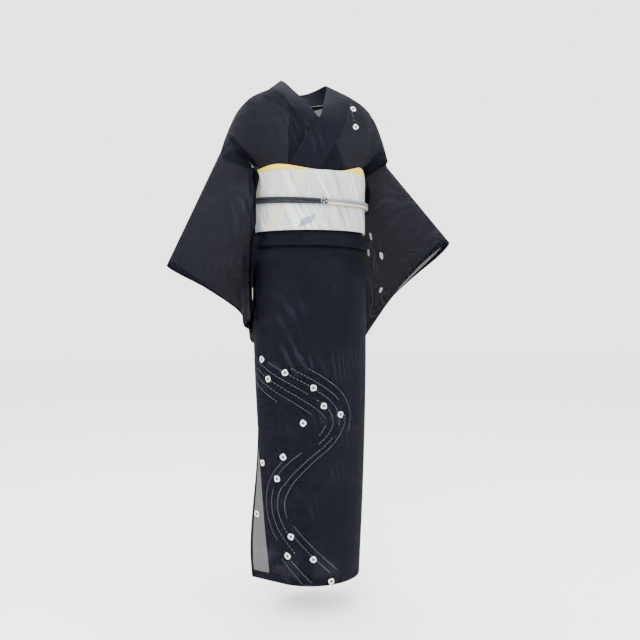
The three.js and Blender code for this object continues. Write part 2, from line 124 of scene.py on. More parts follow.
def table_row(rows: list[Row], key: str, value: float) -> Row:
    """Eases every column of a table by a cubic between its rows.

    Args:
        rows: The table, rising in the key column.
        key: Name of the key column.
        value: Where to read it.
    Returns:
        One row at that value.
    """
    last = len(rows) - 1
    i = 0
    while i < last - 1 and value > rows[i + 1][key]:
        i += 1
    span = rows[i + 1][key] - rows[i][key]
    s = clamp01((value - rows[i][key]) / span)
    weights = (2 * s**3 - 3 * s**2 + 1, s**3 - 2 * s**2 + s, 3 * s**2 - 2 * s**3, s**3 - s**2)
    result = {}
    for name in rows[0]:
        slopes = []
        for j in (i, i + 1):
            low, high = rows[max(0, j - 1)], rows[min(last, j + 1)]
            slopes.append(span * (high[name] - low[name]) / (high[key] - low[key]))
        terms = (rows[i][name], slopes[0], rows[i + 1][name], slopes[1])
        result[name] = sum(w * term for w, term in zip(weights, terms))
    return result


def vec(row: Row) -> Vector:
    """Point of a table row, with its height as Z."""
    return Vector((row["x"], row["y"], row["h"]))


def form_point(h: float, angle: float, out: float) -> Vector:
    """Point of the wrapped form, pushed out by a layer.

    Args:
        h: Height above the hem.
        angle: Degrees from the front.
        out: Layer distance.
    Returns:
        The point in millimetres above the hem.
    """
    row = table_row(FORM, "h", h)
    a = math.radians(angle)
    return Vector((row["x"] + (row["width"] + out) * math.sin(a),
                   row["y"] - (row["depth"] + out) * math.cos(a), h))


def layers_at(side: Side, angle: float) -> Row:
    """Layer distances on a side, eased to one common order at the centre back."""
    share = smooth((angle - 90) / 85) if side is Side.LEFT else 0.0
    return {n: mix(LAYERS[side][n], LAYERS[Side.RIGHT][n], share) for n in LAYERS[side]}


@dataclass(frozen=True)
class Crease:
    """Soft trough or ridge between two points seen from the front or from behind."""

    x0: float
    h0: float
    x1: float
    h1: float
    width: float
    depth: float
    behind: bool = False

    def push(self, point: Vector) -> float:
        """How far the crease moves a point outwards.

        Args:
            point: Point of the body, on the crease's own side or not.
        Returns:
            The distance in millimetres, 0 where the crease doesn't reach.
        """
        if (point.y > 0) is not self.behind:
            return 0.0
        dx, dh = self.x1 - self.x0, self.h1 - self.h0
        length = math.hypot(dx, dh)
        along = ((point.x - self.x0) * dx + (point.z - self.h0) * dh) / length**2
        aside = ((point.x - self.x0) * dh - (point.z - self.h0) * dx) / length
        if not -0.3 < along < 1.3:
            return 0.0
        fade = smooth((along + 0.25) / 0.35) * smooth((1.25 - along) / 0.45)
        return self.depth * fade * hump(aside, 0, self.width)


CREASES = [
    Crease(-176, 1215, -166, 1075, 9, -7), Crease(-150, 1225, -148, 1080, 12, 3.5),
    Crease(-100, 1240, -42, 1135, 6, -2.6), Crease(-78, 1098, -52, 1118, 4, -2.4),
    Crease(-88, 1086, -60, 1104, 4, 2.2), Crease(-120, 1120, -70, 1070, 8, -2.4),
    Crease(-100, 1112, -92, 1066, 5, -2), Crease(86, 1130, 60, 1070, 7, -2.6),
    Crease(112, 1190, 104, 1080, 9, -3), Crease(140, 1200, 132, 1085, 10, 3),
    Crease(166, 1200, 158, 1080, 8, -5), Crease(40, 1150, 16, 1075, 5, -1.5),
    Crease(-150, 1200, -128, 1070, 12, -4, True), Crease(-90, 1220, -70, 1075, 12, 2.5, True),
    Crease(150, 1200, 128, 1070, 12, -4, True), Crease(84, 1215, 66, 1080, 12, -2.4, True),
    Crease(-140, 846, -92, 760, 10, -3), Crease(-60, 846, -48, 640, 16, -1.6),
    Crease(30, 848, 44, 600, 20, 1.5), Crease(96, 846, 104, 700, 14, -1.8),
    Crease(-120, 420, -96, 60, 16, 2.4), Crease(60, 330, 86, 20, 22, -2.2),
    Crease(-92, 845, -76, 600, 14, -2.4, True), Crease(20, 845, 16, 560, 18, 1.8, True),
    Crease(104, 845, 92, 620, 14, -2.6, True), Crease(-50, 420, -56, 20, 22, -2, True),
    Crease(66, 360, 58, 10, 20, 2, True), Crease(-40, 890, -110, 858, 5, -1.4),
    Crease(60, 892, 120, 862, 6, -1.4),
]


def creased(point: Vector) -> Vector:
    """Moves a point of the body out or in by the creases that reach it.

    Args:
        point: The point before creasing.
    Returns:
        The creased point.
    """
    push = sum(crease.push(point) for crease in CREASES)
    away = Vector((point.x - OBI_CENTRE_X, (point.y - OBI_CENTRE_Y) * 1.6, 0))
    return point + away.normalized() * push if away.length > 1 else point


def shoulder_point(side: Side, v: float, t: float) -> Vector:
    """Upper body over the shoulder.

    Args:
        side: Which half.
        v: 0 at the collar seam to 1 at the sleeve seam.
        t: 0 at the front waist, 90 on the shoulder, 180 behind.
    Returns:
        The point in millimetres above the hem, not yet creased.
    """
    ridge = table_row(RIDGE, "v", v)
    front = t <= 90
    angle = v * 90 if front else 180 - max(v * 90, 0.03)
    base = form_point(CHEST_BASE, angle, layers_at(side, angle)["upper"])
    rise = math.sin(math.radians(t))
    start = (0.8 if side is Side.LEFT else 1.5) if front else 1.1
    spread = rise ** mix(start, 0.75, v)
    if not front:
        neck = 1 - smooth((t - 90) / 30)
        spread = mix(neck, spread, smooth(v * 1.6))
    ease = mix(smooth(rise / 0.64), 1, 1 - v)
    reach = mix(base.x - OBI_CENTRE_X, ridge["x"], spread * ease if front or v > 0.2 else spread)
    depth = abs(math.cos(math.radians(t))) ** 0.6
    bulge = 46 * math.sin(math.radians(2 * t)) * v * v * ease
    x = OBI_CENTRE_X * (1 - rise) + side.sign * reach
    return Vector((x, mix(0, base.y, depth) - bulge, mix(CHEST_BASE, ridge["h"], rise)))


def front_edge(h: float) -> float:
    """Angle of a body panel's front edge at a height, negative across the centre."""
    start = TUCK_TOP + 10
    return mix(-table_row(FORM, "h", h)["seam"], 0, smooth((h - start) / (CHEST_BASE - start)))


def strip_stations(layers: Row, step: float) -> list[tuple[float, float]]:
    """Heights and layer distances up a long strip: skirt, the tuck's two turns, waist.

    Args:
        layers: The strip's layer distances.
        step: Spacing of the stations on the skirt.
    Returns:
        A height and a layer distance for each station, from the hem up.
    """
    skirt, turn, upper = layers["skirt"], layers["turn"], layers["upper"]
    low = TUCK_BOTTOM + 12 - (upper - turn)
    top = TUCK_TOP - 4
    count = round(top / step)
    stations = [(top * i / count, skirt) for i in range(count + 1)]
    for i in range(1, 5):
        a = math.pi * i / 5
        stations.append((top + 3 * math.sin(a), mix(skirt, turn, (1 - math.cos(a)) / 2)))
    stations += [(mix(top, low + 6, i / 5), turn) for i in range(6)]
    for i in range(1, 6):
        a = math.pi * i / 6
        stations.append((low + 6 - 6 * math.sin(a), mix(turn, upper, (1 - math.cos(a)) / 2)))
    stations += [(mix(low + 6, COLLAR_END, i / 14), upper) for i in range(15)]
    return stations


def to_scene(point: Vector) -> Vector:
    """Point in the frame's metres, from one in millimetres above the hem."""
    return Vector((point.x, point.y, point.z - SHOULDER_HEIGHT)) * MM


def add_object(name: str, data: bpy.types.ID) -> Piece:
    """Puts a mesh, light or camera into the scene as an object at the origin."""
    obj = bpy.data.objects.new(name, data)
    bpy.context.scene.collection.objects.link(obj)
    return obj


def mesh_object(name: str, bm: bmesh.types.BMesh) -> Piece:
    """Makes an object of a bmesh and frees it.

    Args:
        name: Name of the mesh and its object.
        bm: The shape in metres.
    Returns:
        The new object, without a material.
    """
    mesh = bpy.data.meshes.new(name)
    bm.to_mesh(mesh)
    bm.free()
    return add_object(name, mesh)


def make_piece(name: str, us: Sequence[float], vs: Sequence[float], place: Place,
               size: tuple[float, float], wrap: bool = False) -> Piece:
    """Builds one sheet from a grid whose points are laid by a function.

    Args:
        name: The piece's name.
        us: Keys of the rows.
        vs: Keys of the columns.
        place: Gives the point in millimetres above the hem at a row and column key.
        size: The sheet's real length and width, in metres, which its UV map follows.
        wrap: Whether the last column closes on the first.
    Returns:
        The new object at the origin.
    """
    keys = list(vs) + ([vs[0]] if wrap else [])
    bm = bmesh.new()
    uv_layer = bm.loops.layers.uv.new("UVMap")
    bmesh.ops.create_grid(bm, x_segments=len(keys) - 1, y_segments=len(us) - 1, size=0.5, calc_uvs=True)
    for face in bm.faces:
        for loop in face.loops:
            loop[uv_layer].uv = ((loop.vert.co.x + 0.5) * size[1], (loop.vert.co.y + 0.5) * size[0])
    for vert in bm.verts:
        c = round((vert.co.x + 0.5) * (len(keys) - 1))
        r = round((vert.co.y + 0.5) * (len(us) - 1))
        vert.co = to_scene(place(us[r], keys[c]))
    if wrap:
        bmesh.ops.remove_doubles(bm, verts=bm.verts, dist=SAME_PLACE)
    obj = mesh_object(name, bm)
    for polygon in obj.data.polygons:
        polygon.use_smooth = True
    return obj


def thicken(obj: Piece, thickness: float, rounds: int = 0) -> None:
    """Gives a sheet its wall.

    Args:
        obj: The sheet.
        thickness: Wall in millimetres, shared by both sides of the sheet.
        rounds: Subdivision levels after the wall.
    """
    solid = obj.modifiers.new("Wall", "SOLIDIFY")
    solid.thickness = thickness * MM
    solid.offset = 0
    if rounds:
        sub = obj.modifiers.new("Round", "SUBSURF")
        sub.levels = sub.render_levels = rounds


def spread_keys(count: int, low: float = 0.0, high: float = 1.0) -> list[float]:
    """Evenly spaced keys from low to high."""
    return [mix(low, high, i / (count - 1)) for i in range(count)]


def finish_piece(obj: Piece, material: bpy.types.Material, slot: str, *nodes: str) -> Piece:
    """Dresses a piece and ties it to the frame.

    Args:
        obj: The piece.
        material: Its finish.
        slot: Not used.
        nodes: CAD nodes that it stands for.
    Returns:
        The piece.
    """
    obj.data.materials.append(material)
    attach(obj, BODY)
    if nodes:
        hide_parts(*nodes)
    LOG.info("%s: %d faces", obj.name, len(obj.data.polygons))
    return obj


class Nodes:
    """Short helper that adds and links shader nodes of one material."""

    def __init__(self, name: str) -> None:
        """Starts a material with a lone Principled shader.

        Args:
            name: The material's name.
        """
        self.material = bpy.data.materials.new(name)
        self.material.use_nodes = True
        self.tree = self.material.node_tree
        self.shader = self.tree.nodes["Principled BSDF"]

    def add(self, kind: str, settings: dict[str, float | tuple] | None = None,
            **attributes: object) -> bpy.types.Node:
        """Adds a node.

        Args:
            kind: The node's type without its common prefix.
            settings: Input values by socket name.
            attributes: Attributes to set on the node.
        Returns:
            The node.
        """
        node = self.tree.nodes.new("ShaderNode" + kind)
        for key, value in attributes.items():
            setattr(node, key, value)
        for key, value in (settings or {}).items():
            node.inputs[key].default_value = value
        return node

    def link(self, source: Socket, target: Socket) -> None:
        """Joins an output to an input."""
        self.tree.links.new(source, target)

    def value(self, **sockets: float | tuple) -> None:
        """Sets constant values on the shader's own sockets, with _ for each space."""
        for key, value in sockets.items():
            self.shader.inputs[key.replace("_", " ")].default_value = value

    def coordinates(self, kind: str, scale: tuple[float, float, float], turn: float = 0.0) -> Socket:
        """Texture coordinates, turned and then scaled.

        Args:
            kind: Object or UV.
            scale: Scale along each axis.
            turn: Turn about Z in degrees.
        Returns:
            The coordinates.
        """
        turned = self.add("Mapping", {"Rotation": (0, 0, math.radians(turn))})
        self.link(self.add("TexCoord").outputs[kind], turned.inputs["Vector"])
        scaled = self.add("Mapping", {"Scale": scale})
        self.link(turned.outputs["Vector"], scaled.inputs["Vector"])
        return scaled.outputs["Vector"]

    def ramp(self, source: Socket, stops: Sequence[tuple[float, tuple]]) -> Socket:
        """Colour ramp over a value.

        Args:
            source: The value.
            stops: Place and colour of each stop.
        Returns:
            The colour.
        """
        node = self.add("ValToRGB")
        elements = node.color_ramp.elements
        while len(elements) < len(stops):
            elements.new(0.5)
        for element, (place, colour) in zip(elements, stops):
            element.position = place
            element.color = (*colour, 1)
        self.link(source, node.inputs["Fac"])
        return node.outputs["Color"]

    def blend(self, share: Socket | float, low: Socket | Colour, high: Socket | Colour,
              mode: str = "MIX") -> Socket:
        """Mixes two colours, each a socket or a constant colour.

        Args:
            share: Share of the second colour.
            low: First colour.
            high: Second colour.
            mode: Blend mode.
        Returns:
            The mixed colour.
        """
        node = self.add("MixRGB", blend_type=mode)
        for socket, source in zip(node.inputs, (share, low, high)):
            if isinstance(source, Socket):
                self.link(source, socket)
            else:
                socket.default_value = (*source, 1) if isinstance(source, tuple) else source
        return node.outputs["Color"]

    def bump(self, height: Socket, strength: float, distance: float) -> None:
        """Adds one bump over the others already on the shader's normal.

        Args:
            height: Height pattern.
            strength: Bump strength.
            distance: Depth of the pattern in metres.
        """
        node = self.add("Bump", {"Strength": strength, "Distance": distance})
        self.link(height, node.inputs["Height"])
        links = self.shader.inputs["Normal"].links
        if links:
            self.link(links[0].from_socket, node.inputs["Normal"])
        self.link(node.outputs["Normal"], self.shader.inputs["Normal"])


@dataclass(frozen=True)
class Gauze:
    """Near-black navy silk gauze: fine openwork rows, and faint lighter ripples of painted light standing
    in for the moiré of two overlapping layers.
    """

    name: str
    cover: float
    colour: Colour = (0.0026, 0.0027, 0.0052)
    # Lighter colour of the painted moiré ripples: light let through where the weaves of two layers line up.
    ripple: Colour = (0.017, 0.018, 0.026)
    rows_per_metre: float = 900.0

    def make(self) -> bpy.types.Material:
        """Builds the material.

        Returns:
            The material, whose see-through share is its own alpha value.
        """
        n = Nodes(self.name)
        scale = (self.rows_per_metre, self.rows_per_metre, 1)
        weave = n.add("TexWave", {"Scale": 1.0, "Distortion": 0.6, "Detail": 1.0}, bands_direction="Y")
        n.link(n.coordinates("UV", scale), weave.inputs["Vector"])
        drift = n.add("TexNoise", {"Scale": 9.0, "Detail": 3.0, "Distortion": 0.4})
        n.link(n.coordinates("Object", (1, 1, 1.4)), drift.inputs["Vector"])
        # Painted light: wavy moiré bands, light seen through two layers of weave, mixed into the base
        # colour where the drift noise allows.
        moire_light_bands = n.add("TexWave", {"Scale": 30.0, "Distortion": 5.0, "Detail": 1.0, "Detail Scale": 0.6},
                      bands_direction="DIAGONAL")
        n.link(n.coordinates("Object", (1, 1, 0.3)), moire_light_bands.inputs["Vector"])
        where = n.ramp(drift.outputs["Fac"], [(0.50, (0, 0, 0)), (0.68, (0.5, 0.5, 0.5))])
        lines = n.ramp(moire_light_bands.outputs["Fac"], [(0.55, (0, 0, 0)), (0.95, (1, 1, 1))])
        moire_light_share = n.blend(where, (0, 0, 0), lines)
        thread = n.blend(weave.outputs["Fac"], self.colour, tuple(1.5 * c for c in self.colour))
        n.link(n.blend(moire_light_share, thread, self.ripple), n.shader.inputs["Base Color"])
        n.value(Roughness=0.78, Alpha=self.cover, Sheen_Weight=0.01, Sheen_Roughness=0.5, IOR=1.45,
                Sheen_Tint=(0.7, 0.75, 0.9, 1.0), Specular_IOR_Level=0.05)
        n.bump(drift.outputs["Fac"], 0.2, 0.004)
        return n.material


@dataclass(frozen=True)
class ObiWeave:
    """Pale silver obi gauze with fine upright ribs and soft slanting rays of colour."""

    name: str = "obi_weave"
    silver: Colour = (0.36, 0.385, 0.395)
    cream: Colour = (0.44, 0.39, 0.25)
    blue: Colour = (0.16, 0.21, 0.25)
    rose: Colour = (0.35, 0.26, 0.27)
    bright: Colour = (0.50, 0.52, 0.51)

    def rays(self, n: Nodes, turn: float, scale: float, low: float, high: float) -> Socket:
        """Share of one set of soft rays.

        Args:
            n: The material's nodes.
            turn: Slant in degrees.
            scale: Rays per metre across.
            low: Noise value where a ray starts.
            high: Noise value where it is full.
        Returns:
            The share, from 0 to 1.
        """
        noise = n.add("TexNoise", {"Scale": 1.0, "Detail": 2.0, "Roughness": 0.6}, noise_dimensions="3D")
        n.link(n.coordinates("UV", (scale, scale * 0.05, 1), turn), noise.inputs["Vector"])
        return n.ramp(noise.outputs["Fac"], [(low, (0, 0, 0)), (high, (1, 1, 1))])

    def make(self) -> bpy.types.Material:
        """Builds the material."""
        n = Nodes(self.name)
        ribs = n.add("TexWave", {"Scale": 130.0, "Distortion": 0.3}, bands_direction="X")
        n.link(n.coordinates("UV", (1, 1, 1)), ribs.inputs["Vector"])
        weft = n.add("TexWave", {"Scale": 420.0, "Distortion": 0.4}, bands_direction="Y")
        n.link(n.coordinates("UV", (1, 1, 1)), weft.inputs["Vector"])
        upright = self.rays(n, 0, 160, 0.40, 0.62)
        colour = n.blend(upright, self.silver, tuple(0.84 * c for c in self.silver))
        colour = n.blend(self.rays(n, 24, 42, 0.50, 0.62), colour, self.cream)
        colour = n.blend(self.rays(n, -22, 90, 0.56, 0.66), colour, self.blue)
        colour = n.blend(self.rays(n, 20, 120, 0.58, 0.68), colour, self.rose)
        colour = n.blend(self.rays(n, -26, 60, 0.56, 0.64), colour, self.bright)
        shade = n.ramp(ribs.outputs["Fac"], [(0.0, (0.86, 0.87, 0.88)), (0.6, (1, 1, 1))])
        n.link(n.blend(1.0, colour, shade, "MULTIPLY"), n.shader.inputs["Base Color"])
        n.value(Roughness=0.52, Sheen_Weight=0.2, Sheen_Roughness=0.4, Specular_IOR_Level=0.4)
        n.bump(ribs.outputs["Fac"], 0.5, 0.0005)
        n.bump(weft.outputs["Fac"], 0.2, 0.0002)
        return n.material


@dataclass(frozen=True)
class SoftSilk:
    """Plain silk with a fine crepe surface and slight change of colour."""

    name: str
    colour: Colour
    depth: Colour
    roughness: float = 0.62

    def make(self) -> bpy.types.Material:
        """Builds the material."""
        n = Nodes(self.name)
        cloud = n.add("TexNoise", {"Scale": 26.0, "Detail": 4.0})
        n.link(n.coordinates("Object", (1, 1, 1)), cloud.inputs["Vector"])
        crepe = n.add("TexNoise", {"Scale": 1400.0, "Detail": 2.0})
        n.link(n.coordinates("Object", (1, 1, 0.6)), crepe.inputs["Vector"])
        share = n.ramp(cloud.outputs["Fac"], [(0.35, (0, 0, 0)), (0.7, (1, 1, 1))])
        n.link(n.blend(share, self.colour, self.depth), n.shader.inputs["Base Color"])
        n.value(Roughness=self.roughness, Sheen_Weight=0.25, Sheen_Roughness=0.4)
        n.bump(crepe.outputs["Fac"], 0.3, 0.0003)
        n.bump(cloud.outputs["Fac"], 0.3, 0.002)
        return n.material


@dataclass(frozen=True)
class Braid:
    """Round braided silk cord, its plait read from the strand's own UV map, with painted shade in the
    plait's grooves.
    """

    name: str
    colour: Colour
    groove_shade: Colour
    stitches_per_metre: float = 380.0

    def make(self) -> bpy.types.Material:
        """Builds the material."""
        n = Nodes(self.name)
        sets = []
        for turn in (35, -35):
            wave = n.add("TexWave", {"Scale": self.stitches_per_metre / 6.28}, bands_direction="X")
            n.link(n.coordinates("UV", (1, 1, 1), turn), wave.inputs["Vector"])
            sets.append(wave.outputs["Fac"])
        plait = n.blend(1.0, sets[0], sets[1], "DARKEN")
        # Painted shade: a darker copy of the cord colour fills the plait's low grooves, the cord colour its
        # raised strands.
        tone = n.ramp(plait, [(0.05, (0, 0, 0)), (0.5, (1, 1, 1))])
        n.link(n.blend(tone, self.groove_shade, self.colour), n.shader.inputs["Base Color"])
        n.value(Roughness=0.6, Sheen_Weight=0.04, Specular_IOR_Level=0.2)
        n.bump(plait, 0.6, 0.0008)
        return n.material


GAUZE = Gauze("gauze_single", 0.725)
GAUZE_DENSE = Gauze("gauze_dense", 0.86)
GAUZE_COLLAR = Gauze("gauze_collar", 0.96)
OBI_WEAVE = ObiWeave()
OBIAGE_SILK = SoftSilk("obiage_silk", (0.60, 0.44, 0.012), (0.50, 0.35, 0.006))
DYE_WHITE = SoftSilk("undyed_white", (0.52, 0.52, 0.50), (0.40, 0.41, 0.42), 0.8)
DYE_LINE = SoftSilk("dyed_line", (0.105, 0.125, 0.15), (0.06, 0.075, 0.095), 0.8)
DYE_CENTRE = SoftSilk("tied_centre", (0.02, 0.022, 0.03), (0.04, 0.042, 0.05), 0.8)
STITCH_BLUE = SoftSilk("stitch_blue", (0.13, 0.20, 0.26), (0.07, 0.12, 0.17), 0.7)
# Each cord's second colour is a darker copy of its first, painted into the plait's grooves as shade.
CORD_DARK = Braid("cord_dark", (0.007, 0.0105, 0.0145), (0.003, 0.004, 0.006))
CORD_PALE = Braid("cord_pale", (0.46, 0.43, 0.33), (0.26, 0.23, 0.16))
CORD_GREY = Braid("cord_grey_blue", (0.20, 0.24, 0.27), (0.09, 0.11, 0.13))


def skirt_front(side: Side, h: float, angle: float, out: float) -> Vector:
    """Creased point on the skirt or waist, the angle counted towards the panel's own side."""
    return creased(form_point(h, side.sign * angle, out))


@dataclass
class BodyPanel:
    """One front and back in one cut over the shoulder, with the tuck at the waist."""

    side: Side
    columns: int = 40
    step: float = 12.0
    arch_steps: int = 179
    cloth: float = 0.5
    gap: float = 0.06
    mid_skirt: float = 500.0
    stations: list[list[tuple[float, float]]] = field(default_factory=list)

    def place(self, u: float, v: float) -> Vector:
        """Point of the panel.

        Args:
            u: Station number: up the front, over the shoulder, down the back.
            v: 0 at the centre or collar seam to 1 at the side or sleeve seam.
        Returns:
            The point in millimetres above the hem.
        """
        strip = len(self.stations[0])
        if strip <= u < strip + self.arch_steps:
            t = mix(0.5, 179.5, (u - strip + 0.5) / self.arch_steps)
            return creased(shoulder_point(self.side, v, t))
        front = u < strip
        index = int(u) if front else 2 * strip + self.arch_steps - 1 - int(u)
        rough = mix(front_edge(self.mid_skirt), 90, v) if front else mix(180, 90, v)
        h, out = self.profile(rough)[index]
        if front:
            angle = mix(front_edge(h), 90 - self.gap, v)
        else:
            angle = mix(180 - self.gap, 90 + self.gap, v)
        return skirt_front(self.side, h, angle, out)

    def profile(self, angle: float) -> list[tuple[float, float]]:
        """Strip stations at an angle, from a few worked out once."""
        return self.stations[round(clamp01((angle - 90) / 85) * (len(self.stations) - 1))]

    def build(self) -> Piece:
        """Makes and dresses the panel."""
        shares = spread_keys(40)
        self.stations = [strip_stations(layers_at(self.side, mix(90, 175, s)), self.step) for s in shares]
        count = 2 * len(self.stations[0]) + self.arch_steps
        obj = make_piece(f"panel_{self.side.value}", list(range(count)), spread_keys(self.columns),
                         self.place, (2.75, 0.30))
        thicken(obj, self.cloth)
        finish_piece(obj, GAUZE.make(), "kimono_cloth", f"body_{self.side.value}")
        return obj


@dataclass
class OverlapPanel:
    """Front overlap from its seam round towards the far side; the outer one stands off low down."""

    side: Side
    columns: int = 30
    step: float = 12.0
    waist_angle: float = 84.0
    hem_angle: float = 108.0
    stand_off: float = 470.0
    leave: float = 26.0
    seam_gap: float = 0.05
    upper_end: float = 985.0
    cloth: float = 0.5

    def point(self, h: float, out: float, share: float) -> Vector:
        """Point of the panel.

        Args:
            h: Height above the hem.
            out: Layer distance.
            share: 0 at the seam to 1 at the free edge.
        Returns:
            The point in millimetres above the hem.
        """
        row = table_row(FORM, "h", h)
        low = smooth(1 - h / self.stand_off)
        angle = mix(row["seam"] + self.seam_gap, mix(self.waist_angle, self.hem_angle, low), share)
        leave = row["seam"] + self.leave
        point = form_point(h, -angle, out)
        if self.side is Side.LEFT and angle > leave:
            start = form_point(h, -leave, out)
            tangent = start - form_point(h, -leave + 1, out)
            point = point.lerp(start + tangent * (angle - leave), low)
        if self.side is Side.RIGHT:
            point.x = 2 * row["x"] - point.x
        return creased(point)

    def build(self) -> Piece:
        """Makes and dresses the panel."""
        whole = strip_stations(LAYERS[self.side], self.step)
        stations = [s for i, s in enumerate(whole) if s[0] <= self.upper_end or i < len(whole) / 2]

        def place(u: float, v: float) -> Vector:
            """Point at a station number and a share across."""
            h, out = stations[int(u)]
            return self.point(h, out, v)

        obj = make_piece(f"overlap_{self.side.value}", list(range(len(stations))),
                         spread_keys(self.columns), place, (1.15, 0.16))
        thicken(obj, self.cloth)
        return finish_piece(obj, GAUZE.make(), "kimono_cloth", f"okumi_{self.side.value}")


SLEEVE_EDGES = {
    (Side.RIGHT, "inner"): table("b x y h", (0, -229, 0, 1104), (0.24, -160, -66, 1050),
                                 (0.36, -161, -76, 988), (0.5, -163, -79, 920), (0.75, -168, -70, 797),
                                 (1, -164, -62, 675)),
    (Side.RIGHT, "cuff"): table("b x y h", (0, -375, -50, 800), (0.47, -190, 40, 705),
                                (0.75, -118, 128, 640), (1, -88, 196, 584)),
    (Side.LEFT, "inner"): table("b x y h", (0, 229, 0, 1104), (0.27, 178, 26, 1042), (0.5, 178, 72, 934),
                                (0.75, 174, 118, 812), (1, 150, 160, 694)),
    (Side.LEFT, "cuff"): table("b x y h", (0, 303, -230, 863), (0.47, 252, -38, 747),
                               (0.75, 226, 56, 660), (1, 200, 118, 584)),
}
# Folds and ripples lie at a share of the way across from armhole to cuff; depth is in millimetres.
SLEEVE_FOLDS = table("at width depth", (0.24, 0.16, 20), (0.52, 0.1, -3), (0.7, 0.1, 9), (0.88, 0.08, -6))
SLEEVE_RIPPLES = table("at lean width depth start",
                       (0.05, 0.10, 0.030, -3, 0.25), (0.22, 0.05, 0.035, 3.5, 0.2),
                       (0.30, 0.12, 0.03, -3, 0.4), (0.46, -0.06, 0.04, 3, 0.15),
                       (0.66, 0.04, 0.035, -3.4, 0.3), (0.74, -0.08, 0.04, 2.4, 0.1),
                       (0.9, -0.05, 0.03, -2, 0.12))


@dataclass
class Sleeve:
    """Deep sleeve hung from the armhole: one cut folded over the arm, sewn below the cuff."""

    side: Side
    length: float = 490.0
    width: float = 335.0
    cuff_opening: float = 230.0
    corner: float = 60.0
    armhole_share: float = 0.27
    blend_share: float = 0.3
    seam_gap: float = 0.15
    arm_gap: float = 64.0
    cuff_gap: float = 40.0
    foot_gap: float = 8.0
    loops: int = 64
    around: int = 44
    cloth: float = 0.5

    def foot(self, share: float) -> tuple[float, float]:
        """Place on the lowest line: the bottom, the round corner, up to the cuff.

        Args:
            share: Share of the way along the line from the armhole side.
        Returns:
            The shares across and down the drop.
        """
        up = self.length - self.cuff_opening
        s = share * (self.width + up)
        cut = self.corner * math.pi / 4
        if s < self.width - cut:
            return s / self.width * ((self.width - self.corner) / (self.width - cut)), 1.0
        if s > self.width + cut:
            climb = self.corner + (s - self.width - cut) * ((up - self.corner) / (up - cut))
            return 1.0, 1 - climb / self.length
        turn = (s - self.width + cut) / (2 * cut) * (math.pi / 2)
        a = 1 - self.corner * (1 - math.sin(turn)) / self.width
        return a, 1 - self.corner * (1 - math.cos(turn)) / self.length

    def sheet(self, a: float, b: float) -> Vector:
        """Middle surface: a across from armhole to cuff, b down the drop."""
        inner = vec(table_row(SLEEVE_EDGES[self.side, "inner"], "b", b))
        return inner.lerp(vec(table_row(SLEEVE_EDGES[self.side, "cuff"], "b", b)), a)

    def point(self, k: float, w: float, face: int) -> Vector:
        """Point of the sleeve.

        Args:
            k: Loop, 0 at the armhole to 1 at the cuff opening.
            w: Way down the loop, 0 at the fold over the arm to 1 at the lowest line.
            face: -1 in front and +1 behind.
        Returns:
            The point in millimetres above the hem.
        """
        foot_a, foot_b = self.foot(k)
        a, b = mix(k, foot_a, w), foot_b * w
        step = 0.02
        along_a = self.sheet(a + step, b) - self.sheet(a - step, b)
        along_b = self.sheet(a, min(1, b + step)) - self.sheet(a, max(0, b - step))
        normal = along_a.cross(along_b).normalized()
        if normal.y < 0:
            normal.negate()
        swell = mix(self.arm_gap, self.cuff_gap, a) * math.sin(math.pi * min(1, w / 0.5) ** 0.6 / 2)
        closing = mix(0.28, 0.5, smooth(a / self.blend_share))
        close = mix(1, self.foot_gap / self.arm_gap, smooth((b - 0.12) / closing))
        lens = math.sqrt(max(0.0, 1 - max(0.0, (w - 0.9) / 0.1) ** 2))
        fold = sum(r["depth"] * hump(a, r["at"], r["width"]) for r in SLEEVE_FOLDS)
        ripple = sum(r["depth"] * hump(a, r["at"] + r["lean"] * (b - 0.5), r["width"])
                     * smooth((b - r["start"]) / 0.3) for r in SLEEVE_RIPPLES)
        depth = face * swell * close * lens / 2 + fold * smooth((b - 0.2) / 0.6) + ripple
        point = self.sheet(a, b) + normal * depth
        if w < self.armhole_share and k < self.blend_share:
            t = 90 * (1 - w / self.armhole_share)
            t = t if face < 0 else 180 - t
            seam = shoulder_point(self.side, 1, t)
            seam += (seam - shoulder_point(self.side, 0.9, t)).normalized() * self.seam_gap
            hold = 1 - smooth(k / self.blend_share)
            hold *= 1 - smooth((w / self.armhole_share - 0.75) / 0.25)
            point = point.lerp(creased(seam), hold)
        return point

    def place(self, u: float, v: float) -> Vector:
        """Point at a loop and a way round it: v -1 to 0 up the front, 0 to 1 down behind."""
        return self.point(u, abs(v), -1 if v < 0 else 1)

    def build(self) -> Piece:
        """Makes and dresses the sleeve."""
        keys = spread_keys(2 * self.around + 1, -1, 1)[:-1]
        obj = make_piece(f"sleeve_cloth_{self.side.value}", spread_keys(self.loops), keys, self.place,
                         (0.335, 0.98), wrap=True)
        thicken(obj, self.cloth)
        return finish_piece(obj, GAUZE.make(), "kimono_cloth", f"sleeve_{self.side.value}")


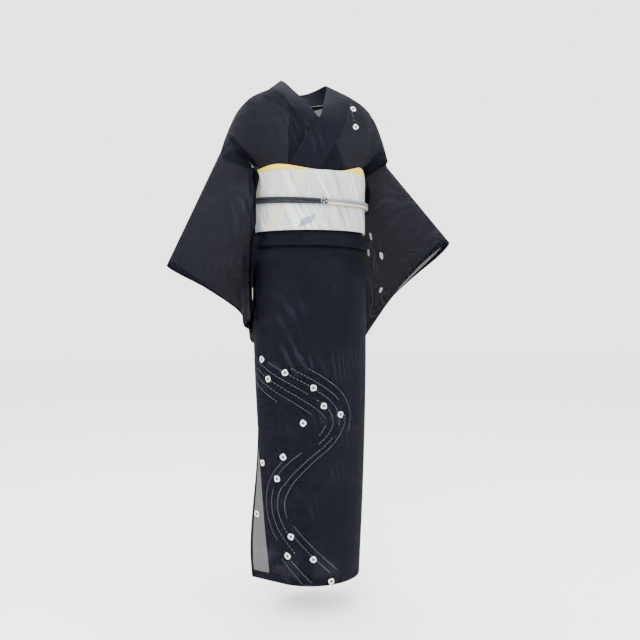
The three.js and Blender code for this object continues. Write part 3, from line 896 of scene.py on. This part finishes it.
@dataclass
class Collar:
    """Folded collar: one band from the left front round the neck and down under itself."""

    wall: float = 1.7
    lift: float = 3.2
    bow: float = 3.0
    seam_gap: float = 0.05
    columns: int = 9
    rungs: int = 132

    def rung(self, side: Side, t: float, share: float) -> Vector:
        """Point across the collar.

        Args:
            side: Which half.
            t: Seam angle as in COLLAR_EDGE, from -12 at the lower front end to 120 at the nape.
            share: 0 at the seam to 1 at the free edge.
        Returns:
            The point in millimetres above the hem.
        """
        edge = vec(table_row(COLLAR_EDGE, "t", t))
        edge.x *= side.sign
        lift = side.sign * self.lift * (1 - smooth((t - 30) / 20))
        edge.y -= lift
        if t < 0:
            end = form_point(COLLAR_END, side.sign * front_edge(COLLAR_END), LAYERS[side]["upper"])
            seam = end.lerp(shoulder_point(side, 0, 0), 1 + t / 12)
        else:
            seam = shoulder_point(side, 0, t)
        seam.y -= lift * (0.5 if side is Side.LEFT else 1)
        gap = self.seam_gap / (seam - edge).length
        point = seam.lerp(edge, mix(gap, 1, share))
        point.y -= self.bow * math.sin(math.pi * share) * (1 if t < 100 else -1)
        point.y -= side.sign * -0.6 * hump(share, 0.52, 0.06) * (1 - smooth((t - 60) / 30))
        return point

    def place(self, u: float, v: float) -> Vector:
        """Point of the collar.

        Args:
            u: Way round from the left front, -1, over the nape, 0, to the right front, 1.
            v: 0 at the seam to 1 at the free edge.
        Returns:
            The point in millimetres above the hem.
        """
        if abs(u) < 1e-6:
            nape = self.rung(Side.LEFT, 120, v)
            nape.x = 0
            return nape
        return self.rung(Side.LEFT if u < 0 else Side.RIGHT, mix(120, -12, abs(u)), v)

    def build(self) -> Piece:
        """Makes and dresses the collar."""
        keys = spread_keys(2 * self.rungs + 1, -1, 1)
        obj = make_piece("collar_band", keys, spread_keys(self.columns), self.place, (1.12, 0.065))
        thicken(obj, self.wall, 1)
        return finish_piece(obj, GAUZE_COLLAR.make(), "kimono_cloth", "collar")


def waist_point(half_width: float, half_depth: float, angle: float, h: float) -> Vector:
    """Point on the oval round the waist.

    Args:
        half_width: Half the oval's width.
        half_depth: Half its depth.
        angle: Degrees from the front.
        h: Height above the hem.
    Returns:
        The point in millimetres above the hem.
    """
    a = math.radians(angle)
    return Vector((OBI_CENTRE_X + half_width * math.sin(a), OBI_CENTRE_Y - half_depth * math.cos(a), h))


@dataclass
class WaistBand:
    """Closed band round the waist between two heights."""

    name: str
    half_width: float
    half_depth: float
    wall: float
    columns: int
    rows: int
    size: tuple[float, float]

    def build(self, low: Callable[[float], float], high: Callable[[float], float],
              relief: Callable[[float, float], float]) -> Piece:
        """Makes the band.

        Args:
            low: Lower edge's height at an angle.
            high: Upper edge's height at an angle.
            relief: How far the surface stands out at an angle and a share of the height.
        Returns:
            The band, not yet dressed.
        """
        def place(u: float, v: float) -> Vector:
            """Point at a share of the height and an angle."""
            out = relief(v, u)
            return waist_point(self.half_width + out, self.half_depth + out, v, mix(low(v), high(v), u))

        keys = spread_keys(self.columns + 1, -180, 180)[:-1]
        obj = make_piece(self.name, spread_keys(self.rows), keys, place, self.size, wrap=True)
        thicken(obj, self.wall)
        return obj


def join_pieces(name: str, parts: Sequence[Piece]) -> Piece:
    """Joins sheets that have no material yet into one piece, with their UV maps kept.

    Args:
        name: The new piece's name.
        parts: The sheets, which are taken away.
    Returns:
        The new piece, not yet dressed.
    """
    bm = bmesh.new()
    for part in parts:
        bm.from_mesh(part.data)
        bpy.data.objects.remove(part)
    return mesh_object(name, bm)


def path_point(points: Sequence[Vector], share: float) -> Vector:
    """Point along a smooth path through given points.

    Args:
        points: The points that it passes through.
        share: Share of the way, counted evenly by points.
    Returns:
        The point on the path.
    """
    place = clamp01(share) * (len(points) - 1)
    i = min(int(place), len(points) - 2)
    s = place - i
    a, b = points[max(0, i - 1)], points[i]
    c, d = points[i + 1], points[min(len(points) - 1, i + 2)]
    bend = (2 * a - 5 * b + 4 * c - d) * s**2
    return 0.5 * (2 * b + (c - a) * s + bend + (3 * b - 3 * c + d - a) * s**3)


def make_tube(name: str, points: Sequence[Vector], radius: float, rows: int, closed: bool = False,
              sides: int = 14) -> Piece:
    """Round cord along a smooth path, its UV map running along it.

    Args:
        name: The piece's name.
        points: The path's points in millimetres above the hem.
        radius: Cord radius in millimetres.
        rows: Number of rings.
        closed: Whether the path is a loop; open ends are rounded.
        sides: Number of faces round the cord.
    Returns:
        The cord, not yet dressed.
    """
    total = sum((b - a).length for a, b in zip(points, points[1:]))
    step = 0.002

    def place(u: float, v: float) -> Vector:
        """Point at a share of the way along the cord and an angle round it."""
        centre = path_point(points, u)
        after, before = path_point(points, min(1, u + step)), path_point(points, max(0, u - step))
        ahead = (after - before).normalized()
        side = ahead.cross(Vector((0, 0, 1)))
        side = side.normalized() if side.length > 0.05 else ahead.cross(Vector((0, 1, 0))).normalized()
        up = side.cross(ahead)
        end = min(u, 1 - u) * total / radius
        r = radius if closed else radius * math.sqrt(max(0.0004, 1 - max(0.0, 1 - end) ** 2))
        return centre + (side * math.cos(v) + up * math.sin(v)) * r

    turn = [2 * math.pi * i / sides for i in range(sides)]
    rim = [] if closed else [0.15 * radius / total, 0.45 * radius / total]
    straight = spread_keys(rows, radius / total, 1 - radius / total)
    keys = [0.0, *rim, *straight, *[1 - r for r in reversed(rim)], 1.0]
    size = (total * MM, 2 * math.pi * radius * MM)
    return make_piece(name, spread_keys(rows) if closed else keys, turn, place, size, wrap=True)


OBI_LOW, OBI_HIGH, OBI_TILT = 895.0, 1046.0, 3.0
OBI_HALF_WIDTH, OBI_HALF_DEPTH, OBI_WALL = 155.5, 119.0, 3.0


def obi_edge(angle: float, height: float) -> float:
    """Height of an edge of the obi at an angle from the front; it sits a little higher on the left."""
    return height + OBI_TILT * math.sin(math.radians(angle))


def obiage_top(angle: float) -> float:
    """Height of the sash's upper edge at an angle from the front."""
    return (obi_edge(angle, OBI_HIGH) + 3 + 13 * hump(angle, -48, 24) + 16 * hump(angle, 52, 20)
            + 10 * hump(abs(angle), 180, 60) - 5 * hump(angle, 5, 20))


@dataclass
class Belt:
    """The obi with its sash, and the bow at the back."""

    stitches: int = 5
    stitch_angle: float = -23.0
    stitch_step: float = 2.7
    stitch_height: float = 899.0
    stitch_rise: float = 3.0
    stitch_lean: float = 4.2
    stitch_length: float = 24.0
    stitch_half_width: float = 0.7
    stitch_lift: float = 0.35
    stitch_crown: float = 0.5
    obi_cloth: float = 2.2
    sash_cloth: float = 1.2
    sash_inset: float = 2.7
    sash_foot: float = 1022.0
    half_drum: float = 106.0
    drum_curve: float = 6.0
    drum: tuple[tuple[float, float], ...] = (
        (117.5, 1036), (118, 1068), (124, 1079), (136, 1078), (143, 1066), (144, 975), (143, 900),
        (139, 884), (130, 879), (125, 888), (124.5, 940))
    tail: tuple[tuple[float, float], ...] = ((117.5, 1010), (119.5, 960), (119.5, 889), (119, 828))

    def obi_relief(self, angle: float, share: float) -> float:
        """Soft unevenness of the wound obi, pressed in under the cord and fuller near the top.

        Args:
            angle: Degrees from the front.
            share: Share of the height.
        Returns:
            How far the cloth stands out in millimetres.
        """
        wave = 0.5 * math.sin(math.radians(angle * 5)) * math.sin(math.pi * share)
        pull = -0.9 * hump(share, 0.4, 0.09) + 0.5 * hump(share, 0.88, 0.1)
        return wave + pull

    def sash_relief(self, angle: float, share: float) -> float:
        """Gathered wrinkles of the sash, fuller where it stands over the obi.

        Args:
            angle: Degrees from the front.
            share: Share of the height.
        Returns:
            How far the cloth stands out in millimetres.
        """
        over = smooth((share - 0.45) / 0.4)
        a = math.radians(angle)
        broad = math.sin(9 * share + 2.2 * math.sin(5 * a))
        folds = broad + 0.6 * math.sin(15 * share + 3 * math.sin(3 * a + 1))
        return over * (1.5 + 0.9 * folds) - 1.6 * smooth((share - 0.93) / 0.07)

    def strip(self, name: str, profile: Sequence[tuple[float, float]], length: float, *nodes: str) -> None:
        """Cloth strip across the back from a profile of distance behind and height.

        Args:
            name: The strip's name.
            profile: Distance behind and height of each point down its middle.
            length: Its length in metres.
            nodes: CAD nodes that it stands for.
        """
        path = [Vector((0, y, h)) for y, h in profile]

        def place(u: float, v: float) -> Vector:
            """Point at a share of the way down and -1 to 1 across."""
            point = path_point(path, u)
            sag = 1.6 * math.sin(math.pi * u) * math.cos(2.2 * v) * hump(u, 0.55, 0.3)
            return Vector((v * self.half_drum, point.y - self.drum_curve * v * v + sag * 0.4, point.z))

        obj = make_piece(name, spread_keys(90), spread_keys(31, -1, 1), place, (length, 0.212))
        thicken(obj, self.obi_cloth)
        finish_piece(obj, OBI_WEAVE.make(), "obi_cloth", *nodes)

    def threads(self) -> None:
        """Short slanting brocade stitches in blue grey, low on the front of the obi."""
        def place(u: float, v: float) -> Vector:
            """Point at a stitch number plus the share along it, and -1 to 1 across."""
            step, way = divmod(u, 1.0)
            angle = self.stitch_angle + self.stitch_step * step
            angle = angle + self.stitch_lean * way + self.stitch_half_width * v
            h = self.stitch_height + self.stitch_rise * step + self.stitch_length * way
            out = OBI_WALL / 2 + self.stitch_lift + self.stitch_crown * (1 - v * v)
            return waist_point(OBI_HALF_WIDTH + out, OBI_HALF_DEPTH + out, angle, h)

        parts = []
        for i in range(self.stitches):
            rows = [i + way for way in (0.0, 0.3, 0.6, 0.95)]
            parts.append(make_piece(f"stitch_{i}", rows, [-1.0, 0.0, 1.0], place, (0.013, 0.004)))
        finish_piece(join_pieces("obi_stitches", parts), STITCH_BLUE.make(), "obi_cloth")

    def build(self) -> None:
        """Makes and dresses the obi, the sash and the bow."""
        obi = WaistBand("obi_cloth_band", OBI_HALF_WIDTH, OBI_HALF_DEPTH, self.obi_cloth, 180, 34,
                        (0.151, 0.87))
        band = obi.build(lambda angle: obi_edge(angle, OBI_LOW), lambda angle: obi_edge(angle, OBI_HIGH),
                         self.obi_relief)
        finish_piece(band, OBI_WEAVE.make(), "obi_cloth", "obi_band")
        sash = WaistBand("obiage_sash", OBI_HALF_WIDTH - self.sash_inset, OBI_HALF_DEPTH - self.sash_inset,
                         self.sash_cloth, 220, 26, (0.04, 0.85))
        obiage = sash.build(lambda angle: self.sash_foot, obiage_top, self.sash_relief)
        finish_piece(obiage, OBIAGE_SILK.make(), "obiage_cloth", "obiage")
        self.threads()
        self.strip("drum_bow", self.drum, 0.37, "obi_drum")
        self.strip("drum_tail", self.tail, 0.185, "obi_tail")


@dataclass
class Cord:
    """The round cord over the obi: two strands to a side and a plaited knot in front."""

    radius: float = 3.9
    height: float = 966.0
    lift: float = 5.0
    rise: float = 4.3
    clear: float = 0.9
    knot_out: float = 6.8
    knot_radius: float = 5.0
    knot_lobe: float = 2.4
    knot_weave: float = 2.2
    knot_cord: float = 2.1
    knot_points: int = 48
    angles: tuple[float, ...] = (3.2, 8, 20, 36, 52, 68, 84, 100, 114)
    drum_round: tuple[tuple[float, float], ...] = ((124, 122.5), (115, 141), (98, 148.5), (55, 150.5),
                                                   (0.3, 151.5))

    def route(self, side: Side, rise: float) -> list[Vector]:
        """Points of a strand from beside the knot, round the band and over the drum.

        Args:
            side: Which way round it runs.
            rise: Height above the cord's middle, away from the knot, in millimetres.
        Returns:
            The points in millimetres above the hem.
        """
        out = self.radius + OBI_WALL / 2 + self.clear
        points = []
        for angle in self.angles:
            h = self.height + rise * mix(0.72, 1, smooth(angle / 30))
            h += self.lift * math.sin(math.radians(angle)) ** 2
            points.append(waist_point(OBI_HALF_WIDTH + out, OBI_HALF_DEPTH + out, angle * side.sign, h))
        return points + [Vector((side.sign * x, y, points[-1].z)) for x, y in self.drum_round]

    def knot(self) -> None:
        """Plaited knot: a flattened three-lobed loop with a second colour wound through it."""
        front = OBI_CENTRE_Y - OBI_HALF_DEPTH - OBI_WALL / 2 - self.knot_out
        centre = Vector((OBI_CENTRE_X, front, self.height))
        loops = ((CORD_DARK, "cord_dark", 0.0, ["obijime_knot"]), (CORD_GREY, "cord_pale", 0.8, []))
        for index, (material, slot, turn, nodes) in enumerate(loops):
            points = []
            for i in range(self.knot_points + 1):
                t = 2 * math.pi * i / self.knot_points
                r = self.knot_radius + self.knot_lobe * math.cos(3 * t)
                over = -self.knot_weave * math.sin(3 * t + index * math.pi)
                a = 2 * t + turn
                points.append(centre + Vector((r * math.cos(a), over, r * math.sin(a))))
            tube = make_tube(f"knot_loop_{index}", points, self.knot_cord, 160, closed=True, sides=10)
            finish_piece(tube, material.make(), slot, *nodes)

    def build(self) -> None:
        """Makes and dresses the strands and the knot."""
        strands = ((Side.RIGHT, "dark", "upper", CORD_DARK), (Side.RIGHT, "dark", "lower", CORD_DARK),
                   (Side.LEFT, "pale", "upper", CORD_GREY), (Side.LEFT, "pale", "lower", CORD_PALE))
        for side, tone, level, finish in strands:
            route = self.route(side, self.rise if level == "upper" else -self.rise)
            tube = make_tube(f"cord_{tone}_{level}", route, self.radius - 0.1, 260)
            finish_piece(tube, finish.make(), f"cord_{tone}", f"obijime_{tone}_{level}")
        self.knot()


@dataclass
class Studio:
    """Plain pale floor, soft light and the camera."""

    floor_drop: float = 1.325
    camera_place: tuple[float, float, float] = (-0.623, -1.822, -0.572)
    camera_turn: float = -20.0
    lens: float = 40.5
    light_aim: tuple[float, float, float] = (0, 0, -0.6)
    world_strength: float = 3.0

    def light(self, name: str, place: tuple[float, float, float], size: float, energy: float) -> None:
        """Adds an area light aimed at the middle of the garment.

        Args:
            name: The light's name.
            place: Where it stands, in metres.
            size: Side of the lamp in metres.
            energy: Power in watts.
        """
        data = bpy.data.lights.new(name, "AREA")
        data.size, data.energy = size, energy
        obj = add_object(name, data)
        obj.location = place
        obj.rotation_euler = (Vector(self.light_aim) - Vector(place)).to_track_quat("-Z", "Y").to_euler()

    def build(self) -> None:
        """Makes the floor, the lights and the camera."""
        bm = bmesh.new()
        bmesh.ops.create_grid(bm, x_segments=1, y_segments=1, size=12,
                              matrix=Matrix.Translation((0, 0, -self.floor_drop)))
        floor = mesh_object("floor", bm)
        paint = Nodes("floor_paint")
        paint.value(Base_Color=(0.93, 0.93, 0.93, 1), Roughness=0.9)
        floor.data.materials.append(paint.material)
        world = bpy.data.worlds.new("studio_world")
        world.use_nodes = True
        background = world.node_tree.nodes["Background"]
        background.inputs["Color"].default_value = (1, 1, 1, 1)
        background.inputs["Strength"].default_value = self.world_strength
        bpy.context.scene.world = world
        self.light("key", (-1.8, -2.6, 1.3), 1.8, 170)
        self.light("fill", (2.4, -2.2, 0.6), 2.2, 60)
        self.light("top", (0, 0.4, 2.4), 2.0, 120)
        data = bpy.data.cameras.new("camera")
        data.lens, data.sensor_width = self.lens, 36
        camera = add_object("camera", data)
        camera.location = self.camera_place
        camera.rotation_euler = (math.radians(90), 0, math.radians(self.camera_turn))
        bpy.context.scene.camera = camera


@dataclass
class Allowances:
    """Turned hems and seam allowances, which show as darker bands through the gauze."""

    side: Side
    inside: float = 0.45
    hem: float = 20.0
    thickness: float = 0.3
    foot: float = 0.4
    top: float = 845.0
    seam_angle: float = 6.0

    def long_rows(self) -> list[float]:
        """Heights along a seam of the skirt."""
        return spread_keys(60, self.foot, self.top)

    def hem_rows(self) -> list[float]:
        """Heights across the hem."""
        return [self.foot, self.hem / 3, self.hem * 2 / 3, self.hem]

    def bands(self, name: str, strips: Sequence[Strip], size: tuple[float, float]) -> Piece:
        """Joins thin strips into one piece of denser gauze.

        Args:
            name: The piece's name.
            strips: Row keys, column keys and place function of each strip.
            size: Length and width of a strip in metres, which its UV map follows.
        Returns:
            The dressed piece.
        """
        parts = [make_piece(f"{name}_{i}", us, vs, place, size) for i, (us, vs, place) in enumerate(strips)]
        obj = join_pieces(name, parts)
        thicken(obj, self.thickness)
        return finish_piece(obj, GAUZE_DENSE.make(), "kimono_cloth")

    def below(self, out: float, low: float, high: float, front: bool) -> Place:
        """Place function of a strip under the skirt between two angles.

        Args:
            out: Layer distance of the cloth that it lies under.
            low: First angle, or for the front edge the angle past the seam.
            high: Second angle.
            front: Whether low counts from the panel's front edge.
        Returns:
            The place function, by height and share between the angles.
        """
        def place(u: float, v: float) -> Vector:
            """Point at a height and a share between the angles."""
            start = front_edge(u) + low if front else low
            return skirt_front(self.side, u, mix(start, high, v), out - self.inside)
        return place

    def shoulder(self, v0: float, v1: float) -> Place:
        """Place function of a strip under the shoulder.

        Args:
            v0: Share of the shoulder's breadth where the strip starts.
            v1: Share where it ends.
        Returns:
            The place function, by angle over the shoulder and share between v0 and v1.
        """
        def place(u: float, v: float) -> Vector:
            """Point at an angle over the shoulder and a share between v0 and v1."""
            share = mix(v0, v1, v)
            point = creased(shoulder_point(self.side, share, u))
            drop = 60 * math.sin(math.radians(u))
            core = Vector((OBI_CENTRE_X + self.side.sign * 100 * share, 0, point.z - drop))
            return point + (core - point).normalized() * self.inside
        return place

    def body(self) -> Piece:
        """Hem, front edge, side seam, centre back, neckline and armhole of one body panel."""
        out = LAYERS[self.side]["skirt"]
        back = LAYERS[Side.RIGHT]["skirt"]
        heights, low, narrow = self.long_rows(), self.hem_rows(), spread_keys(5)
        edge = self.seam_angle
        strips = [
            (low, spread_keys(40), self.below(out, 0.1, 89.9, True)),
            (low, spread_keys(40), self.below(back + (out - back) * 0.5, 90.1, 179.9, False)),
            (heights, narrow, self.below(out, 0.1, -22 + edge, True)),
            (heights, narrow, self.below(out, 90 - edge, 90 + edge, False)),
            (heights, narrow, self.below(back, 180 - edge, 179.9, False)),
            (spread_keys(40, 92, 178), narrow, self.shoulder(0.0, 0.09)),
            (spread_keys(60, 4, 176), narrow, self.shoulder(0.90, 0.999)),
        ]
        return self.bands(f"seams_body_{self.side.value}", strips, (0.85, 0.02))

    def overlap(self, panel: OverlapPanel) -> Piece:
        """Hem, seam and free edge of one overlap panel.

        Args:
            panel: The panel.
        Returns:
            The bands as one piece.
        """
        out = LAYERS[self.side]["skirt"] - self.inside
        heights, low, narrow = self.long_rows(), self.hem_rows(), spread_keys(5)
        strips = [
            (low, spread_keys(30), lambda u, v: panel.point(u, out, v)),
            (heights, narrow, lambda u, v: panel.point(u, out, mix(0.001, 0.07, v))),
            (heights, narrow, lambda u, v: panel.point(u, out, mix(0.95, 0.999, v))),
        ]
        return self.bands(f"seams_overlap_{self.side.value}", strips, (0.85, 0.02))

    def sleeve(self, cloth: Sleeve) -> Piece:
        """Armhole seam, cuff hem and lower seam of one sleeve.

        Args:
            cloth: The sleeve.
        Returns:
            The bands as one piece.
        """
        def inner(k: float, w: float, face: int) -> Vector:
            """Point a little inside the sleeve, towards its other face."""
            point = cloth.point(k, w, face)
            other = cloth.point(k, w, -face)
            apart = other - point
            return point + apart.normalized() * min(self.inside, apart.length * 0.35)

        grids = ((spread_keys(6, 0.003, 0.085), spread_keys(40, 0.03, 0.98)),
                 (spread_keys(4, 0.955, 0.999), spread_keys(40, 0.02, 0.98)),
                 (spread_keys(60, 0.003, 0.999), spread_keys(4, 0.955, 0.99)))
        strips = [(us, vs, lambda u, v, f=face: inner(u, v, f)) for face in (-1, 1) for us, vs in grids]
        return self.bands(f"seams_sleeve_{self.side.value}", strips, (0.02, 0.5))


SPINE = table("s h a", (0, 582, -84), (0.1, 540, -52), (0.2, 497, -20), (0.3, 452, 4), (0.38, 412, 11),
              (0.46, 370, 2), (0.55, 322, -22), (0.64, 268, -46), (0.72, 214, -58), (0.8, 158, -55),
              (0.88, 104, -38), (0.95, 52, -16), (1, 10, 4))
STREAMS = table("offset start stop",
                (-66, 0.02, 0.15), (-46, 0.0, 0.27), (-28, 0.03, 0.35), (-30, 0.42, 0.48), (-9, 0.0, 0.22),
                (-9, 0.25, 0.50), (10, 0.07, 0.40), (10, 0.45, 0.66), (27, 0.14, 0.31), (27, 0.36, 0.58),
                (46, 0.18, 0.41), (-22, 0.55, 0.66), (-36, 0.60, 0.84), (-15, 0.69, 0.90), (5, 0.66, 0.87),
                (27, 0.58, 0.80), (14, 0.86, 0.99), (32, 0.84, 1.0), (-38, 0.87, 0.97), (-58, 0.88, 0.98))
RINGS = table("h a", (568, -70), (536, -40), (519, -61), (498, -12), (452, -2), (428, 16), (410, -23),
              (324, -46), (303, -77), (268, -55), (168, -92), (124, -42), (74, -48), (68, -17), (8, 4))
SLEEVE_RINGS = table("k w", (0.26, 0.42), (0.255, 0.52), (0.46, 0.42), (0.575, 0.60))
SLEEVE_STREAMS = [[(0.28, 0.45), (0.38, 0.48), (0.48, 0.53)], [(0.36, 0.50), (0.44, 0.55)],
                  [(0.38, 0.60), (0.47, 0.67), (0.60, 0.79), (0.72, 0.88)],
                  [(0.62, 0.63), (0.72, 0.75), (0.84, 0.91)]]
SHOULDER_RINGS = table("v t", (0.07, 52), (0.20, 34))
SHOULDER_STREAMS = [[(0.01, 54), (0.07, 46), (0.15, 38)]]


@dataclass
class Dye:
    """Tied-and-dyed marks: small white rings with a dark middle, and broken stream lines."""

    ring_radius: float = 8.0
    puff_radius: float = 5.6
    eye_radius: float = 3.9
    eye_rim: float = 0.9
    puff: float = 0.8
    ring_points: int = 24
    line_width: float = 1.0
    dash: float = 5.0
    space: float = 3.6
    raise_by: float = 0.55
    skirt_mm_per_degree: float = 2.4
    gathered: float = 0.72
    lowest_ring: float = 9.0
    lowest_line: float = 3.0
    steps: tuple[float, float] = (1.0, 1.0)

    def lift(self, surface: Place, u: float, v: float, turn: int) -> Vector:
        """Point just outside the cloth.

        Args:
            surface: The cloth's own point function.
            u: First key.
            v: Second key.
            turn: +1 or -1, whichever side faces out.
        Returns:
            The point in millimetres above the hem.
        """
        du, dv = self.steps
        point = surface(u, v)
        normal = (surface(u + du, v) - point).cross(surface(u, v + dv) - point).normalized()
        return point + normal * turn * self.raise_by

    def ring(self, bm: bmesh.types.BMesh, surface: Place, u: float, v: float, turn: int,
             index: int) -> None:
        """Adds one ring, slightly uneven, and its dark middle as a second material.

        Args:
            bm: The marks so far.
            surface: The cloth's own point function.
            u: First key of the ring's middle.
            v: Second key of the ring's middle.
            turn: +1 or -1, whichever side faces out.
            index: The ring's number, which sets its unevenness.
        """
        du, dv = self.steps
        here = surface(u, v)
        per_u = (surface(u + du, v) - here).length / du
        per_v = (surface(u, v + dv) - here).length / dv
        count = self.ring_points
        profile = ((self.eye_radius, 0.3), (self.eye_radius + self.eye_rim, 1.0), (self.puff_radius, 1.1),
                   (self.ring_radius, 0.0))
        loops = []
        for radius, high in profile:
            loop = []
            for i in range(count):
                a = 2 * math.pi * i / count
                wobble = 0.07 * math.cos(4 * a + index) + 0.05 * math.cos(3 * a + 2.1 * index)
                uneven = 1 + wobble * radius / self.ring_radius
                x, y = uneven * radius * math.cos(a), uneven * radius * math.sin(a)
                keys = (u + y / per_u, v + x / per_v)
                point = self.lift(surface, *keys, turn)
                away = (point - surface(*keys)).normalized()
                loop.append(bm.verts.new(to_scene(point + away * high * self.puff)))
            loops.append(loop)
        for inner, outer in zip(loops, loops[1:]):
            for i in range(count):
                j = (i + 1) % count
                bm.faces.new((inner[i], outer[i], outer[j], inner[j])).smooth = True
        bm.faces.new(loops[0]).material_index = 1

    def stream(self, bm: bmesh.types.BMesh, surface: Place, path: Path, turn: int) -> None:
        """Adds one broken line along a path of keys, as a third material.

        Args:
            bm: The marks so far.
            surface: The cloth's own point function.
            path: Keys at a share of the way along the line.
            turn: +1 or -1, whichever side faces out.
        """
        walk = [surface(*path(i / 12)) for i in range(13)]
        length = sum((b - a).length for a, b in zip(walk, walk[1:]))
        count = max(2, round(length / (self.dash + self.space)))
        for i in range(count):
            s0, s1 = i / count, (i + self.dash / (self.dash + self.space)) / count
            ends = [self.lift(surface, *path(s), turn) for s in (s0, mix(s0, s1, 0.5), s1)]
            ahead = (ends[2] - ends[0]).normalized()
            normal = (ends[1] - surface(*path(mix(s0, s1, 0.5)))).normalized()
            side = ahead.cross(normal) * self.line_width / 2
            wide = (0.35, 1.0, 0.45)
            left = [bm.verts.new(to_scene(end + side * w)) for end, w in zip(ends, wide)]
            right = [bm.verts.new(to_scene(end - side * w)) for end, w in zip(ends, wide)]
            for k in range(2):
                bm.faces.new((left[k], left[k + 1], right[k + 1], right[k])).material_index = 2

    def piece(self, name: str, bm: bmesh.types.BMesh) -> Piece:
        """Turns the marks into one dressed piece.

        Args:
            name: The piece's name.
            bm: The marks.
        Returns:
            The piece, with its three materials.
        """
        obj = finish_piece(mesh_object(name, bm), DYE_WHITE.make(), "kimono_cloth")
        obj.data.materials.append(DYE_CENTRE.make())
        obj.data.materials.append(DYE_LINE.make())
        return obj

    def scatter(self, name: str, surface: Place, rings: Sequence[tuple[float, float]],
                lines: Sequence[Sequence[tuple[float, float]]], turn: int) -> Piece:
        """Rings and lines given by their keys on one piece of cloth.

        Args:
            name: Name of the new piece.
            surface: The cloth's own point function.
            rings: Keys of each ring.
            lines: Keys along each line.
            turn: +1 or -1, whichever side faces out.
        Returns:
            The marks as one piece.
        """
        bm = bmesh.new()
        for index, keys in enumerate(rings):
            self.ring(bm, surface, *keys, turn, index)
        for line in lines:
            points = [Vector((*keys, 0)) for keys in line]

            def path(s: float, points: list[Vector] = points) -> tuple[float, float]:
                """Keys at a share of the way along the line."""
                point = path_point(points, s)
                return point.x, point.y

            self.stream(bm, surface, path, turn)
        return self.piece(name, bm)

    def skirt(self, overlap: OverlapPanel) -> Piece:
        """Marks that flow down the skirt, over the overlap panel and the left front.

        Args:
            overlap: The left overlap panel.
        Returns:
            The marks as one piece.
        """
        out = LAYERS[Side.LEFT]["skirt"]

        def surface(h: float, angle: float) -> Vector:
            """Point of the outer cloth at a height and an angle, on the panel or past its seam."""
            row = table_row(FORM, "h", h)
            if angle < -row["seam"]:
                low = smooth(1 - h / overlap.stand_off)
                edge = mix(overlap.waist_angle, overlap.hem_angle, low)
                return overlap.point(h, out, (-angle - row["seam"]) / (edge - row["seam"]))
            return skirt_front(Side.LEFT, h, angle, out)

        bm = bmesh.new()
        for index, row in enumerate(RINGS):
            self.ring(bm, surface, max(self.lowest_ring, row["h"]), row["a"], -1, index)
        scale = self.skirt_mm_per_degree
        for row in STREAMS:
            def path(s: float, row: Row = row) -> tuple[float, float]:
                """Height and angle at a share of the way along the stream."""
                along = mix(row["start"], row["stop"], s)
                spine = table_row(SPINE, "s", along)
                ahead = table_row(SPINE, "s", min(1, along + 0.01))
                behind = table_row(SPINE, "s", max(0, along - 0.01))
                run = Vector(((ahead["a"] - behind["a"]) * scale, ahead["h"] - behind["h"], 0)).normalized()
                gather = mix(1.0, self.gathered, hump(along, 0.5, 0.12))
                h = spine["h"] + run.x * row["offset"] * gather
                return max(self.lowest_line, h), spine["a"] - run.y * row["offset"] * gather / scale

            self.stream(bm, surface, path, -1)
        return self.piece("dye_skirt", bm)

    def sleeve(self, cloth: Sleeve) -> Piece:
        """Marks on the front of the left sleeve.

        Args:
            cloth: The left sleeve.
        Returns:
            The marks as one piece.
        """
        self.steps = (0.01, 0.01)
        rings = [(row["k"], row["w"]) for row in SLEEVE_RINGS]
        return self.scatter("dye_sleeve", lambda k, w: cloth.point(k, w, -1), rings, SLEEVE_STREAMS, -1)

    def shoulder(self) -> Piece:
        """Marks high on the left shoulder."""
        self.steps = (0.01, 1.0)
        rings = [(row["v"], row["t"]) for row in SHOULDER_RINGS]
        return self.scatter("dye_shoulder", lambda v, t: shoulder_point(Side.LEFT, v, t), rings,
                            SHOULDER_STREAMS, 1)


def declare(obj: Piece,
            with_pieces: Sequence[Piece] = ()) -> None:
    """Takes one sheet of the gauze and the trims on it, and does nothing with them.

    Args:
        obj: The sheet; not used.
        with_pieces: Trims that lie on it.
    """
    list(with_pieces)


def main() -> None:
    """Builds the garment and the studio."""
    Studio().build()
    for side in Side:
        bands = Allowances(side)
        body = BodyPanel(side).build()
        overlap_cut, sleeve_cut = OverlapPanel(side), Sleeve(side)
        overlap = overlap_cut.build()
        body_trims, trims = [bands.body()], [bands.overlap(overlap_cut)]
        sleeve_trims = [bands.sleeve(sleeve_cut)]
        if side is Side.LEFT:
            trims.append(Dye().skirt(overlap_cut))
            body_trims.append(Dye().shoulder())
            sleeve_trims.append(Dye().sleeve(sleeve_cut))
        declare(body, body_trims)
        declare(overlap, trims)
        declare(sleeve_cut.build(), sleeve_trims)
    collar = Collar().build()
    declare(collar)
    Belt().build()
    Cord().build()


if __name__ == "__main__":
    logging.basicConfig(level=logging.INFO, format="%(message)s")
    main()
